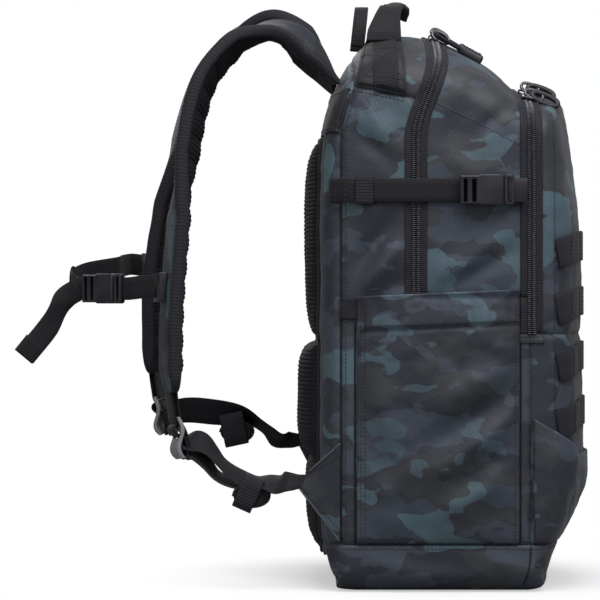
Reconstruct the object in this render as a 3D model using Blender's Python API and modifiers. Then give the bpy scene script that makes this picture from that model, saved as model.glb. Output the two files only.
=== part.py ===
"""Tackle backpack: sewn camouflage shells, two zipped lids, side pockets and a padded harness.

Metres, +Z up. +X is the front (away from the wearer), -Y the wearer's left, and the origin is the
middle of the base.
"""
import math

import bmesh
import bpy
import numpy as np
from mathutils import Matrix, Vector
from mathutils.bvhtree import BVHTree

# Clearances
SEAT_GAP = 0.0004          # between a piece and what it is sewn to or lies on
SEAM_GAP = 0.0004          # between two panels at a seam
CURVED_GAP = 0.0009        # where a flat facet lies on a rounded panel
RUN_GAP = 0.0005           # between pieces that slide
CHANNEL_GAP = 0.0009       # beside the coil inside a zip slider

# Body form
BODY_HEIGHT = 0.482
BODY_HALF_WIDTH = 0.148
SIDE_CROWN = 0.004         # bulge of each side panel
EDGE_RADIUS = 0.020        # rounded edge between side and the other faces
DOME_RADIUS = 0.320        # arch of the top, seen from the front
DOME_START = BODY_HEIGHT - 0.182   # height where the arch begins to draw the sides down
BACK_X = -0.098
FRONT_X = 0.131
FRONT_CROWN = 0.024        # how far the front bows out in the middle
BASE_BACK_X = -0.072
BASE_FRONT_X = 0.080
HEEL_HEIGHT = 0.056        # rounded lower edge at the back
TOE_HEIGHT = 0.107         # sloping lower edge at the front
TOP_BACK_X = -0.062
TOP_FRONT_X = 0.002
LEAN_START = BODY_HEIGHT - 0.110   # height where the back turns forward to the top
FRONT_TOP_Z = BODY_HEIGHT - 0.052   # top of the front section
SLOPE_FOOT_X = 0.072       # where the sloping top meets the front section
WALL = 0.0035
FLAT_TOLERANCE = 0.0005    # bulge below which a stretch of the outline stays straight

# Seams and zips
BASE_SEAM_Z = 0.041
BACK_SEAM_X = -0.084
BACK_SEAM_BEND = BODY_HEIGHT - 0.087   # height where the back seam starts to follow the lean
BACK_SEAM_TOP_X = -0.074
CAP_SEAM_BACK_Z = BODY_HEIGHT - 0.049
CAP_SEAM_FRONT_Z = BODY_HEIGHT - 0.063
PART_Z = 0.250             # lower edge of the main lid, behind the pocket tops
FOLD_Z = 0.219             # fold of both lids across the front
FOLD_OUT = 0.006           # fold line in front of the front face
MAIN_ZIP_X = -0.0205
MAIN_ZIP_TOP_X = -0.001
MAIN_ZIP_BEND_LOW = BODY_HEIGHT - 0.097
MAIN_ZIP_BEND_HIGH = BODY_HEIGHT - 0.024
FRONT_ZIP_X = 0.0775
TAPE_WIDTH = 0.0095
TAPE_THICKNESS = 0.0011
COIL_WIDTH = 0.0028        # half of the coil, on each tape
COIL_HEIGHT = 0.0014
DIVIDER_THICKNESS = 0.003

# Back
FRAME_SHEET_THICKNESS = 0.0016
FRAME_SHEET_WIDTH = 0.236
FRAME_SHEET_HEIGHT = 0.290
PAD_HALF_WIDTH = 0.118
UPPER_PAD_LOW = 0.214
UPPER_PAD_HIGH = BODY_HEIGHT - 0.096
UPPER_PAD_DEPTH = 0.0135
LUMBAR_LOW = 0.033
LUMBAR_SPLIT = 0.112
LUMBAR_HIGH = 0.2115
LUMBAR_DEPTH = 0.0205
LOWER_PAD_DEPTH = 0.0125
AIR_CHANNEL = 0.034        # width of the channel down the middle of the upper pad
YOKE_LOW = BODY_HEIGHT - 0.092
YOKE_HIGH = BODY_HEIGHT - 0.054
YOKE_THICKNESS = 0.002

# Side pockets
POCKET_BACK_X = -0.0705
POCKET_FRONT_X = 0.0668
POCKET_TOP_BACK = 0.251
POCKET_TOP_FRONT = 0.257
POCKET_BULGE = 0.016
POCKET_WALL = 0.0018

# Webbing
WEBBING = 0.020            # compression and chest webbing width
WEBBING_THICKNESS = 0.0014
STRAP_WEBBING = 0.025      # lower shoulder webbing width
STRAP_Z = BODY_HEIGHT - 0.141   # compression strap
STRAP_STANDOFF = 0.0045
STRAP_INSET = 0.004        # where the webbing is sewn in, ahead of the back face
BUCKLE_BACK_X = 0.0165
KEEPER_X = -0.0645
KEEPER_LENGTH = 0.015
KEEPER_WALL = 0.0011
MOLLE_WIDTH = 0.0254
MOLLE_PITCH = 0.0482
MOLLE_TOP = 0.3065
MOLLE_ROWS = 4
MOLLE_THICKNESS = 0.0016
MOLLE_START_X = 0.0985

# Side release buckle
BUCKLE_WIDTH = 0.0262
BUCKLE_THICKNESS = 0.0085
LADDER_LENGTH = 0.0155
HOUSING_LENGTH = 0.0210
MALE_LENGTH = 0.0085
PRONG_LENGTH = 0.0165
PRONG_THICKNESS = 0.0042
TAB_LENGTH = 0.0150

# Zip sliders and pulls
SLIDER_LENGTH = 0.0095
SLIDER_HALF_WIDTH = 0.0047
SLIDER_TOP = 0.0020
BRIDGE_RISE = 0.0058
PULL_BAR = 0.0011          # radius of the pull's cord
MAIN_PULL_CORD = 0.024     # free length of each pull's cord, and of its moulded grip
MAIN_PULL_GRIP = 0.023
FRONT_PULL_CORD = 0.010
FRONT_PULL_GRIP = 0.017
PULL_GRIP_WIDTH = 0.0085
PULL_GRIP_THICKNESS = 0.0055
PULL_FLOAT = 0.0008        # room under a pull for its slider's travel
MAIN_SLIDER_Y = (-0.062, -0.040)
FRONT_SLIDER_Y = (-0.100, -0.054)
SLIDER_TRAVEL = (-0.018, 0.060)   # how far the left and the right slider run along the top

# Top
HANDLE_X = -0.036
ANCHOR_X = -0.045
HANDLE_WIDTH = 0.025
HANDLE_GRIP_WIDTH = 0.028
HANDLE_FOOT_Y = 0.086
HANDLE_RISE = 0.030        # grip above the crown of the top
HANDLE_THICKNESS = 0.0028
ANCHOR_LENGTH = 0.046
ANCHOR_WIDTH = 0.038
ANCHOR_THICKNESS = 0.0022
LOOP_X = -0.0675
LOOP_LEAN = 0.004          # how far the loop's top stands ahead of its feet
LOOP_WIDTH = 0.012
LOOP_HALF_SPAN = 0.028
LOOP_RISE = 0.032
LOOP_THICKNESS = 0.0016

# Harness
STRAP_WIDTH_TOP = 0.066
STRAP_WIDTH_LOW = 0.046
STRAP_THICKNESS = 0.014
STRAP_END_THICKNESS = 0.005
YOKE_SEAM_Z = BODY_HEIGHT - 0.042
STRAP_SEAM_SET = 0.0020    # how far a strap's tilted top is let in to the yoke seam
STRAP_END_Z = 0.147        # lower end of the left strap
STRAP_ROLL = 15.0          # degrees the straps slope down to the outside
STRAP_FLAT_SHARE = 0.25    # share of a strap's length over which it takes up that slope
RIGHT_STRAP_LIFT = 0.020
RIGHT_STRAP_LEAN = 0.024
LOCK_LENGTH = 0.036
LOCK_WIDTH = 0.031
LOCK_THICKNESS = 0.0032
LOCK_CURL = 0.0042         # sweep of the lock's S shape
LOCK_BAR = 0.0035          # top bar, which the lock tips on
WING_HIGH = 0.126
WING_LOW = 0.043
WING_APEX_X = -0.117
WING_APEX_Z = 0.089
WING_THICKNESS = 0.002
RIGHT_WING_RISE = 0.022    # the right wing is sewn in higher
STERNUM_Z = 0.258
STERNUM_RISE = 0.020       # the right end of the chest strap sits higher
STERNUM_TURN = 39.0        # degrees between the buckle and straight back
STERNUM_BUCKLE_X = -0.309
STERNUM_BUCKLE_Y = -0.046
CLIP_HEIGHT = 0.025
CLIP_WIDTH = 0.022
CLIP_THICKNESS = 0.0055
CLIP_LEAD = 0.007          # webbing runs straight out of a clip for this far
ROLL_TURNS = 2.5
ROLL_PITCH = 0.0026
ROLL_CORE_LONG = 0.0095
ROLL_CORE_SHORT = 0.0040

OBJECT_NAME = "tackle_backpack"

COLOURS = {
    "camo_fabric": ((0.052, 0.060, 0.068, 1.0), 0.75, 0.0),
    "black_fabric": ((0.010, 0.010, 0.011, 1.0), 0.85, 0.0),
    "mesh": ((0.008, 0.008, 0.009, 1.0), 0.90, 0.0),
    "webbing": ((0.012, 0.012, 0.013, 1.0), 0.80, 0.0),
    "black_plastic": ((0.014, 0.014, 0.015, 1.0), 0.45, 0.0),
    "grey_plastic": ((0.23, 0.23, 0.24, 1.0), 0.50, 0.0),
    "zip_metal": ((0.05, 0.05, 0.055, 1.0), 0.35, 1.0),
    "board": ((0.02, 0.02, 0.02, 1.0), 0.60, 0.0),
}


def clear_scene():
    """Remove what a new scene starts with."""
    for item in list(bpy.data.objects):
        bpy.data.objects.remove(item, do_unlink=True)


def make_collection(name):
    """A collection linked to the scene."""
    collection = bpy.data.collections.new(name)
    bpy.context.scene.collection.children.link(collection)
    return collection


def paint(item, kind):
    """Give an object its own material."""
    colour, roughness, metallic = COLOURS[kind]
    material = bpy.data.materials.new(f"{item.name}_{kind}")
    material.use_nodes = True
    shader = material.node_tree.nodes["Principled BSDF"]
    shader.inputs["Base Color"].default_value = colour
    shader.inputs["Roughness"].default_value = roughness
    shader.inputs["Metallic"].default_value = metallic
    item.data.materials.clear()
    item.data.materials.append(material)


def add_object(name, bm):
    """Turn a bmesh into a scene object, its faces pointing out."""
    bmesh.ops.recalc_face_normals(bm, faces=bm.faces[:])
    if bm.calc_volume(signed=True) < 0:
        bmesh.ops.reverse_faces(bm, faces=bm.faces[:])
    mesh = bpy.data.meshes.new(name)
    bm.to_mesh(mesh)
    bm.free()
    item = bpy.data.objects.new(name, mesh)
    PARTS.objects.link(item)
    return item


def baked(item):
    """Replace an object's mesh by its evaluated mesh, and drop the modifiers."""
    bpy.context.view_layer.update()
    graph = bpy.context.evaluated_depsgraph_get()
    mesh = bpy.data.meshes.new_from_object(item.evaluated_get(graph))
    item.modifiers.clear()
    item.data = mesh
    return item


def combine(item, other, operation):
    """Boolean one object with another, which is then removed."""
    cut = item.modifiers.new(operation.lower(), "BOOLEAN")
    cut.operation = operation
    cut.solver = "EXACT"
    cut.object = other
    baked(item)
    bpy.data.objects.remove(other, do_unlink=True)
    return item


def copy_of(item, name):
    """An independent copy of an object."""
    twin = bpy.data.objects.new(name, item.data.copy())
    PARTS.objects.link(twin)
    return twin


def smooth_run(points, steps, closed=False):
    """Catmull-Rom curve through points, as an array of rows."""
    points = np.array(points, dtype=float)
    count = len(points)
    spans = count if closed else count - 1
    rows = []
    for span in range(spans):
        if closed:
            p0, p1, p2, p3 = (points[(span + k) % count] for k in (-1, 0, 1, 2))
        else:
            p1, p2 = points[span], points[span + 1]
            p0 = points[span - 1] if span > 0 else 2 * p1 - p2
            p3 = points[span + 2] if span + 2 < count else 2 * p2 - p1
        for step in range(steps):
            t = step / steps
            rows.append(
                0.5 * ((2 * p1) + (p2 - p0) * t + (2 * p0 - 5 * p1 + 4 * p2 - p3) * t * t
                       + (3 * p1 - p0 - 3 * p2 + p3) * t * t * t)
            )
    if not closed:
        rows.append(points[-1])
    return np.array(rows)


def thinned(outline):
    """A closed outline without the in-between points that lie on a straight stretch."""
    kept = []
    for k, point in enumerate(outline):
        before, after = outline[k - 1], outline[(k + 1) % len(outline)]
        chord = after - before
        off = abs(chord[0] * (point - before)[1] - chord[1] * (point - before)[0]) / np.linalg.norm(chord)
        if k % 2 == 0 or off > FLAT_TOLERANCE:
            kept.append(point)
    return np.array(kept)


def side_profile():
    """Outline of the body seen from the side, as (x, z) rows, anticlockwise from the back of the base."""
    top = BODY_HEIGHT
    lean = top - LEAN_START
    toe = TOE_HEIGHT
    points = [
        (BASE_BACK_X, 0.0),
        (BACK_X + 0.012, 0.16 * HEEL_HEIGHT),
        (BACK_X + 0.003, 0.5 * HEEL_HEIGHT),
        (BACK_X, HEEL_HEIGHT),
        (BACK_X, 0.5 * (HEEL_HEIGHT + LEAN_START)),
        (BACK_X, LEAN_START),
        (BACK_X + 0.008, LEAN_START + 0.48 * lean),
        (BACK_X + 0.019, LEAN_START + 0.74 * lean),
        (TOP_BACK_X, top - 0.008),
        (0.6 * TOP_BACK_X + 0.4 * TOP_FRONT_X, top),
        (TOP_FRONT_X, top - 0.003),
        (0.5 * (TOP_FRONT_X + SLOPE_FOOT_X) + 0.004, 0.5 * (top + FRONT_TOP_Z) + 0.003),
        (SLOPE_FOOT_X, FRONT_TOP_Z + 0.003),
        (FRONT_X - 0.038, FRONT_TOP_Z),
        (FRONT_X - 0.021, FRONT_TOP_Z - 0.005),
        (FRONT_X - 0.015, FRONT_TOP_Z - 0.020),
        (FRONT_X - 0.008, FRONT_TOP_Z - 0.065),
        (FRONT_X - 0.001, FRONT_TOP_Z - 0.125),
        (FRONT_X, FOLD_Z),
        (FRONT_X + 0.001, toe + 0.030),
        (FRONT_X, toe),
        (FRONT_X - 0.014, 0.52 * toe),
        (0.5 * (FRONT_X + BASE_FRONT_X) - 0.004, 0.16 * toe),
        (BASE_FRONT_X, 0.0),
    ]
    outline = smooth_run(points, 2, closed=True)
    outline[:, 1] = np.maximum(outline[:, 1], 0.0)
    return thinned(outline)


def outward(outline):
    """Unit normals of a closed anticlockwise-from-the-back outline, pointing out of it."""
    along = np.roll(outline, -1, axis=0) - np.roll(outline, 1, axis=0)
    along /= np.linalg.norm(along, axis=1)[:, None]
    return np.stack([-along[:, 1], along[:, 0]], axis=1)


def dome_drop(y):
    """How far the arched top has come down at a distance from the middle."""
    y = min(abs(y), BODY_HALF_WIDTH)
    return DOME_RADIUS - math.sqrt(DOME_RADIUS ** 2 - y * y)


def bowed(ring, y):
    """One slice of the body: the side outline with the arch of the top and the bow of the front."""
    ring = ring.copy()
    rise = BODY_HEIGHT - DOME_START
    high = np.clip((ring[:, 1] - DOME_START) / rise, 0.0, None)
    ring[:, 1] -= high * dome_drop(y)
    start = 0.5 * FRONT_X
    ahead = np.clip((ring[:, 0] - start) / (FRONT_X - start), 0.0, 1.0)
    share = min(abs(y) / BODY_HALF_WIDTH, 1.0) ** 2
    ring[:, 0] -= FRONT_CROWN * share * ahead * ahead * (3 - 2 * ahead)
    return ring


def body_form(name, grow):
    """The whole body as one solid, grown outward by a distance (negative for the inside)."""
    outline = side_profile()
    turned = outward(outline)
    middle = np.array([0.012, 0.215])
    half = BODY_HALF_WIDTH + grow
    flat = half - EDGE_RADIUS
    slices = [(flat * share, 0.0, 1.0) for share in (0.0, 0.36, 0.70)]
    for degrees in (0, 45, 90):
        angle = math.radians(degrees)
        slices.append((flat + EDGE_RADIUS * math.sin(angle), EDGE_RADIUS * (1 - math.cos(angle)), 1.0))
    slices.append((half + SIDE_CROWN, EDGE_RADIUS, 0.60))
    mirrored = [(-y, inset, scale) for y, inset, scale in reversed(slices[1:])]
    bm = bmesh.new()
    rows = []
    for y, inset, scale in mirrored + slices:
        ring = outline + turned * grow
        ray = ring - middle
        ray /= np.linalg.norm(ray, axis=1)[:, None]
        facing = np.clip(np.sum(ray * turned, axis=1), 0.62, 1.0)
        ring = ring - ray * (inset / facing)[:, None]
        ring = middle + (ring - middle) * scale
        ring = bowed(ring, y)
        rows.append([bm.verts.new((x, y, z)) for x, z in ring])
    count = len(outline)
    for low, high in zip(rows, rows[1:]):
        for k in range(count):
            nxt = (k + 1) % count
            bm.faces.new((low[k], low[nxt], high[nxt], high[k]))
    bm.faces.new(rows[0])
    bm.faces.new(rows[-1])
    return add_object(name, bm)


def felt(name, grow):
    """The body's surface, grown by a distance, for rays to meet."""
    form = body_form(name, grow)
    bm = bmesh.new()
    bm.from_mesh(form.data)
    tree = BVHTree.FromBMesh(bm)
    bm.free()
    bpy.data.objects.remove(form, do_unlink=True)
    return tree


def prism(name, outline, low_y, high_y):
    """An (x, z) outline drawn out between two values of y."""
    bm = bmesh.new()
    face = bm.faces.new([bm.verts.new((x, low_y, z)) for x, z in outline])
    drawn = bmesh.ops.extrude_face_region(bm, geom=[face])
    moved = [item for item in drawn["geom"] if isinstance(item, bmesh.types.BMVert)]
    bmesh.ops.translate(bm, verts=moved, vec=(0.0, high_y - low_y, 0.0))
    return add_object(name, bm)


def block(name, low, high):
    """A box between two corners."""
    bm = bmesh.new()
    bmesh.ops.create_cube(bm, size=1.0)
    low, high = Vector(low), Vector(high)
    for vert in bm.verts:
        vert.co = Vector(
            (low[k] + (vert.co[k] + 0.5) * (high[k] - low[k])) for k in range(3)
        )
    return add_object(name, bm)


def slab(name, across, along, outer, inner):
    """A soft sheet: a grid pushed onto an outer and an inner surface, both given by (u, v) in -1..1."""
    bm = bmesh.new()
    bmesh.ops.create_grid(bm, x_segments=across, y_segments=along, size=1.0)
    drawn = bmesh.ops.extrude_face_region(bm, geom=bm.faces[:])
    lifted = {item for item in drawn["geom"] if isinstance(item, bmesh.types.BMVert)}
    for vert in bm.verts:
        u, v = vert.co.x, vert.co.y
        vert.co = Vector(outer(u, v) if vert in lifted else inner(u, v))
    return add_object(name, bm)


def plate(name, outline, thickness, chamfer=0.0):
    """A flat outline in XY as a filled 2D curve, drawn out to its thickness, with chamfered edges."""
    curve = bpy.data.curves.new(name, "CURVE")
    curve.dimensions = "2D"
    curve.fill_mode = "BOTH"
    curve.extrude = 0.5 * thickness - chamfer
    curve.bevel_depth = chamfer
    curve.bevel_resolution = 0
    curve.offset = -chamfer
    spline = curve.splines.new("POLY")
    spline.points.add(len(outline) - 1)
    for point, (x, y) in zip(spline.points, outline):
        point.co = (x, y, 0.0, 1.0)
    spline.use_cyclic_u = True
    return meshed(name, curve)


def tube(name, points, radius, closed=False):
    """A round cord along points, with filled caps."""
    curve = bpy.data.curves.new(name, "CURVE")
    curve.dimensions = "3D"
    curve.bevel_depth = radius
    curve.bevel_resolution = 1
    curve.use_fill_caps = not closed
    spline = curve.splines.new("POLY")
    spline.points.add(len(points) - 1)
    for point, place in zip(spline.points, points):
        point.co = (*place, 1.0)
    spline.use_cyclic_u = closed
    return meshed(name, curve)


def meshed(name, curve):
    """A curve as a welded mesh object."""
    drawn = bpy.data.objects.new(name + "_curve", curve)
    PARTS.objects.link(drawn)
    bpy.context.view_layer.update()
    graph = bpy.context.evaluated_depsgraph_get()
    mesh = bpy.data.meshes.new_from_object(drawn.evaluated_get(graph))
    bm = bmesh.new()
    bm.from_mesh(mesh)
    bmesh.ops.remove_doubles(bm, verts=bm.verts[:], dist=0.00001)
    bpy.data.objects.remove(drawn, do_unlink=True)
    return add_object(name, bm)


def rounded_block(name, low, high, radius):
    """A box with rounded edges."""
    item = block(name, low, high)
    rounding = item.modifiers.new("rounding", "BEVEL")
    rounding.width = radius
    rounding.segments = 1
    return baked(item)


def frame_at(origin, ahead, up):
    """A placing matrix: local X runs ahead, local Z up, at an origin."""
    ahead = Vector(ahead).normalized()
    side = Vector(up).cross(ahead).normalized()
    up = ahead.cross(side)
    matrix = Matrix((ahead, side, up)).transposed().to_4x4()
    matrix.translation = Vector(origin)
    return matrix


def hang_on(items, name, origin, carrier=None):
    """Parent pieces to an empty that stands on their joint's axis, itself parented to what carries it."""
    pivot = bpy.data.objects.new(name + "_axis", None)
    pivot.location = origin
    PARTS.objects.link(pivot)
    if carrier is not None:
        pivot.parent = carrier
        pivot.matrix_parent_inverse = carrier.matrix_world.inverted()
    bpy.context.view_layer.update()
    for item in items:
        item.parent = pivot
        item.matrix_parent_inverse = pivot.matrix_world.inverted()
    return pivot


def skin_x(y, z, from_front):
    """X of the body's surface at (y, z), met from the front or from the back."""
    start = 0.5 if from_front else -0.5
    hit = SKIN.ray_cast(Vector((start, y, z)), Vector((-start, 0.0, 0.0)))[0]
    return hit.x


def inside_x(y, z):
    """X of the hollow's rear wall at (y, z)."""
    hit = HOLLOW.ray_cast(Vector((0.0, y, z)), Vector((-1.0, 0.0, 0.0)))[0]
    return hit.x


def skin_y(x, z, side):
    """Y of the body's surface at (x, z) on one side (-1 left, 1 right)."""
    hit = SKIN.ray_cast(Vector((x, side * 0.6, z)), Vector((0.0, -side, 0.0)))[0]
    return hit.y


def skin_z(x, y):
    """Height of the top at (x, y), with its normal."""
    hit, normal = SKIN.ray_cast(Vector((x, y, 0.9)), Vector((0.0, 0.0, -1.0)))[:2]
    return hit.z, normal


def main_zip_line():
    """The main zip seen from the side, from its lower end to above the top, as (x, z)."""
    low, high = MAIN_ZIP_BEND_LOW, MAIN_ZIP_BEND_HIGH
    reach = MAIN_ZIP_TOP_X - MAIN_ZIP_X
    line = [(MAIN_ZIP_X, PART_Z)]
    for share in (0.0, 0.25, 0.5, 0.75, 1.0):
        ease = share * share * (3 - 2 * share)
        line.append((MAIN_ZIP_X + reach * ease, low + (high - low) * share))
    line.append((MAIN_ZIP_TOP_X, BODY_HEIGHT + 0.05))
    return line


def shifted(line, dx):
    """A line moved along X."""
    return [(x + dx, z) for x, z in line]


def make_shells():
    """Cut the hollow body into its sewn panels along the seams and zips."""
    outer = body_form("shell", 0.0)
    shell = combine(outer, body_form("inside", -WALL), "DIFFERENCE")
    gap = 0.5 * SEAM_GAP
    far = BODY_HEIGHT + 0.06
    wide = BODY_HALF_WIDTH + 0.05
    out = 0.3
    zip_back = shifted(main_zip_line(), -gap)
    zip_front = shifted(main_zip_line(), gap)
    cap_slope = (CAP_SEAM_FRONT_Z - CAP_SEAM_BACK_Z) / (MAIN_ZIP_X - BACK_SEAM_X)

    def cap_seam(x):
        return CAP_SEAM_BACK_Z + cap_slope * (x - BACK_SEAM_X)

    above = [(x, z) for x, z in zip_back if z > cap_seam(x)]
    below = [(x, z) for x, z in zip_back if z < cap_seam(x)]
    meet_x = 0.5 * (above[0][0] + below[-1][0])
    low_back = BACK_SEAM_X + gap
    top_back = BACK_SEAM_TOP_X + gap
    front = FRONT_ZIP_X
    side = [(low_back, BASE_SEAM_Z + gap), (front - gap, BASE_SEAM_Z + gap), (front - gap, PART_Z - gap)]
    side += [(zip_back[0][0], PART_Z - gap)] + below[1:] + [(meet_x, cap_seam(meet_x) - gap)]
    side += [(top_back, cap_seam(top_back) - gap), (low_back, BACK_SEAM_BEND)]
    outlines = {
        "base_tub": [(-out, -0.05), (out, -0.05), (out, BASE_SEAM_Z - gap), (-out, BASE_SEAM_Z - gap)],
        "back_panel": [(-out, BASE_SEAM_Z + gap), (BACK_SEAM_X - gap, BASE_SEAM_Z + gap),
                       (BACK_SEAM_X - gap, BACK_SEAM_BEND), (BACK_SEAM_TOP_X - gap, cap_seam(top_back)),
                       (BACK_SEAM_TOP_X - gap, far), (-out, far)],
        "rear_top_cap": [(top_back, cap_seam(top_back) + gap), (meet_x, cap_seam(meet_x) + gap)] + above
        + [(top_back, far)],
        "lower_front_panel": [(front + gap, BASE_SEAM_Z + gap), (out, BASE_SEAM_Z + gap),
                              (out, FOLD_Z - gap), (front + gap, FOLD_Z - gap)],
        "lid_gusset": [(zip_front[0][0], PART_Z + gap), (front - gap, PART_Z + gap), (front - gap, far)]
        + list(reversed(zip_front[1:])),
        "front_lid_panel": [(front + gap, FOLD_Z + gap), (out, FOLD_Z + gap), (out, far),
                            (front + gap, far)],
        "side_panel_left": side,
        "side_panel_right": side,
    }
    panels = {}
    for name, outline in outlines.items():
        low = 0.0 if name.endswith("right") else -wide
        high = 0.0 if name.endswith("left") else wide
        panel = copy_of(shell, name)
        panels[name] = combine(panel, prism(name + "_region", outline, low, high), "INTERSECT")
        paint(panels[name], "camo_fabric")
    bpy.data.objects.remove(shell, do_unlink=True)
    return panels


def make_dividers():
    """The wall between the main compartment and the front organiser, one piece below and one in the lid."""
    gap = 0.5 * SEAM_GAP
    front = FRONT_ZIP_X - 0.0015
    spans = {"lower_divider": (0.0, PART_Z - gap), "lid_divider": (PART_Z + gap, BODY_HEIGHT)}
    pieces = {}
    for name, (low, high) in spans.items():
        inside = body_form(name, -WALL - SEAT_GAP)
        wall = block(name + "_slab", (front - DIVIDER_THICKNESS, -0.3, low), (front, 0.3, high))
        pieces[name] = combine(inside, wall, "INTERSECT")
        paint(pieces[name], "black_fabric")
    return pieces


def band(name, low, high, outline):
    """A strip that lies on the body between two heights above it, within an (x, z) outline."""
    strip = body_form(name, high)
    combine(strip, body_form(name + "_under", low), "DIFFERENCE")
    return combine(strip, prism(name + "_region", outline, -0.3, 0.3), "INTERSECT")


def zip_tape(name, line, side, low_z):
    """One tape of a zip: a flat strip with half the coil as a raised bead on its edge."""
    gap = 0.5 * SEAM_GAP
    edge = [(x + side * gap, max(z, low_z)) for x, z in line]
    outer_edge = [(x + side * TAPE_WIDTH, z) for x, z in edge]
    beyond = [(x + side * 0.01, z) for x, z in outer_edge]
    beyond[0] = (beyond[0][0], beyond[0][1] - 0.01)
    bead_edge = [(x + side * COIL_WIDTH, z) for x, z in edge]
    bead_edge[0] = (bead_edge[0][0], bead_edge[0][1] - 0.01)
    flat = SEAT_GAP + TAPE_THICKNESS
    tape = band(name, SEAT_GAP, flat + COIL_HEIGHT, edge + outer_edge[::-1])
    relief = band(name + "_relief", flat, flat + COIL_HEIGHT + 0.002, bead_edge + beyond[::-1])
    combine(tape, relief, "DIFFERENCE")
    paint(tape, "webbing")
    return tape


def make_zips():
    """The four tapes of the main zip and the front zip."""
    top = BODY_HEIGHT + 0.05
    main = main_zip_line()
    front = [(FRONT_ZIP_X, FOLD_Z), (FRONT_ZIP_X, 0.5 * (FOLD_Z + top)), (FRONT_ZIP_X, top)]
    clear = 0.5 * SEAM_GAP
    return {
        "main_zip_rear_tape": zip_tape("main_zip_rear_tape", main, -1, PART_Z + clear),
        "main_zip_lid_tape": zip_tape("main_zip_lid_tape", main, 1, PART_Z + clear),
        "front_zip_lid_tape": zip_tape("front_zip_lid_tape", front, -1, PART_Z + clear),
        "front_zip_front_tape": zip_tape("front_zip_front_tape", front, 1, FOLD_Z + clear),
    }


def make_back():
    """Stiffener, padded back and the black yoke band that the shoulder straps are sewn under."""
    low = HEEL_HEIGHT + 0.004
    high = low + FRAME_SHEET_HEIGHT
    reach = [low + (high - low) * step / 12 for step in range(13)]
    corners = (0.0, 0.5 * FRAME_SHEET_WIDTH)
    sheet_x = max(inside_x(y, z) for y in corners for z in reach) + SEAT_GAP
    sheet = rounded_block("frame_sheet", (sheet_x, -0.5 * FRAME_SHEET_WIDTH, low),
                          (sheet_x + FRAME_SHEET_THICKNESS, 0.5 * FRAME_SHEET_WIDTH, high), 0.0004)
    paint(sheet, "board")

    def back_point(u, v, low_z, high_z):
        y = PAD_HALF_WIDTH * u
        z = low_z + (high_z - low_z) * 0.5 * (v + 1)
        return Vector((skin_x(y, z, False) - CURVED_GAP, y, z))

    def cushion(u, v):
        return (1 - abs(u) ** 5) * (1 - abs(v) ** 6)

    def upper_outer(u, v):
        base = back_point(u, v, UPPER_PAD_LOW, UPPER_PAD_HIGH)
        channel = math.exp(-(u * PAD_HALF_WIDTH / (0.5 * AIR_CHANNEL)) ** 4)
        depth = UPPER_PAD_DEPTH * (0.32 + 0.68 * cushion(u, v)) * (1 - 0.62 * channel)
        return base - Vector((depth, 0, 0))

    def lumbar_outer(u, v):
        base = back_point(u, v, LUMBAR_LOW, LUMBAR_HIGH)
        split = 2 * (LUMBAR_SPLIT - LUMBAR_LOW) / (LUMBAR_HIGH - LUMBAR_LOW) - 1
        depth = LUMBAR_DEPTH if v > split else LOWER_PAD_DEPTH
        local = 2 * (v - split) / (1 - split) - 1 if v > split else 2 * (v + 1) / (split + 1) - 1
        depth *= 0.34 + 0.66 * cushion(u, local)
        return base - Vector((depth, 0, 0))

    upper = slab("upper_back_pad", 12, 8, upper_outer,
                 lambda u, v: back_point(u, v, UPPER_PAD_LOW, UPPER_PAD_HIGH))
    lumbar = slab("lumbar_pad", 10, 15, lumbar_outer,
                  lambda u, v: back_point(u, v, LUMBAR_LOW, LUMBAR_HIGH))
    paint(upper, "mesh")
    paint(lumbar, "mesh")
    edge = BACK_SEAM_X - 0.5 * SEAM_GAP
    yoke = band("shoulder_yoke", SEAT_GAP, SEAT_GAP + YOKE_THICKNESS,
                [(-0.3, YOKE_LOW), (edge, YOKE_LOW), (edge, YOKE_HIGH), (-0.3, YOKE_HIGH)])
    paint(yoke, "webbing")


def make_pockets():
    """Stretch side pockets, open at the top and sewn down along their other three edges."""
    for name, side in (("side_pocket_left", -1), ("side_pocket_right", 1)):
        def inner(u, v, side=side):
            share = 0.5 * (u + 1)
            x = POCKET_BACK_X + (POCKET_FRONT_X - POCKET_BACK_X) * share
            top = POCKET_TOP_BACK + (POCKET_TOP_FRONT - POCKET_TOP_BACK) * share
            low = BASE_SEAM_Z + SEAM_GAP
            z = low + (top - low) * 0.5 * (v + 1)
            swell = (1 - abs(u) ** 2.6) * math.sin(0.5 * math.pi * min(1.0, 0.62 * (v + 1)))
            return Vector((x, skin_y(x, z, side) + side * (CURVED_GAP + POCKET_BULGE * swell), z))

        def outer(u, v, side=side, inner=inner):
            return inner(u, v) + Vector((0.0, side * POCKET_WALL, 0.0))

        pocket = slab(name, 10, 9, outer, inner)
        paint(pocket, "camo_fabric")


def make_molle():
    """Rows of webbing across the front; the rows above the fold go with the front lid, and are returned."""
    on_lid = []
    for row in range(MOLLE_ROWS):
        top = MOLLE_TOP - MOLLE_PITCH * row
        strip = band(f"molle_strip_{row + 1}", SEAT_GAP, SEAT_GAP + MOLLE_THICKNESS,
                     [(MOLLE_START_X, top - MOLLE_WIDTH), (0.3, top - MOLLE_WIDTH), (0.3, top),
                      (MOLLE_START_X, top)])
        paint(strip, "webbing")
        if top - MOLLE_WIDTH > FOLD_Z:
            on_lid.append(strip)
    return on_lid


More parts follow.
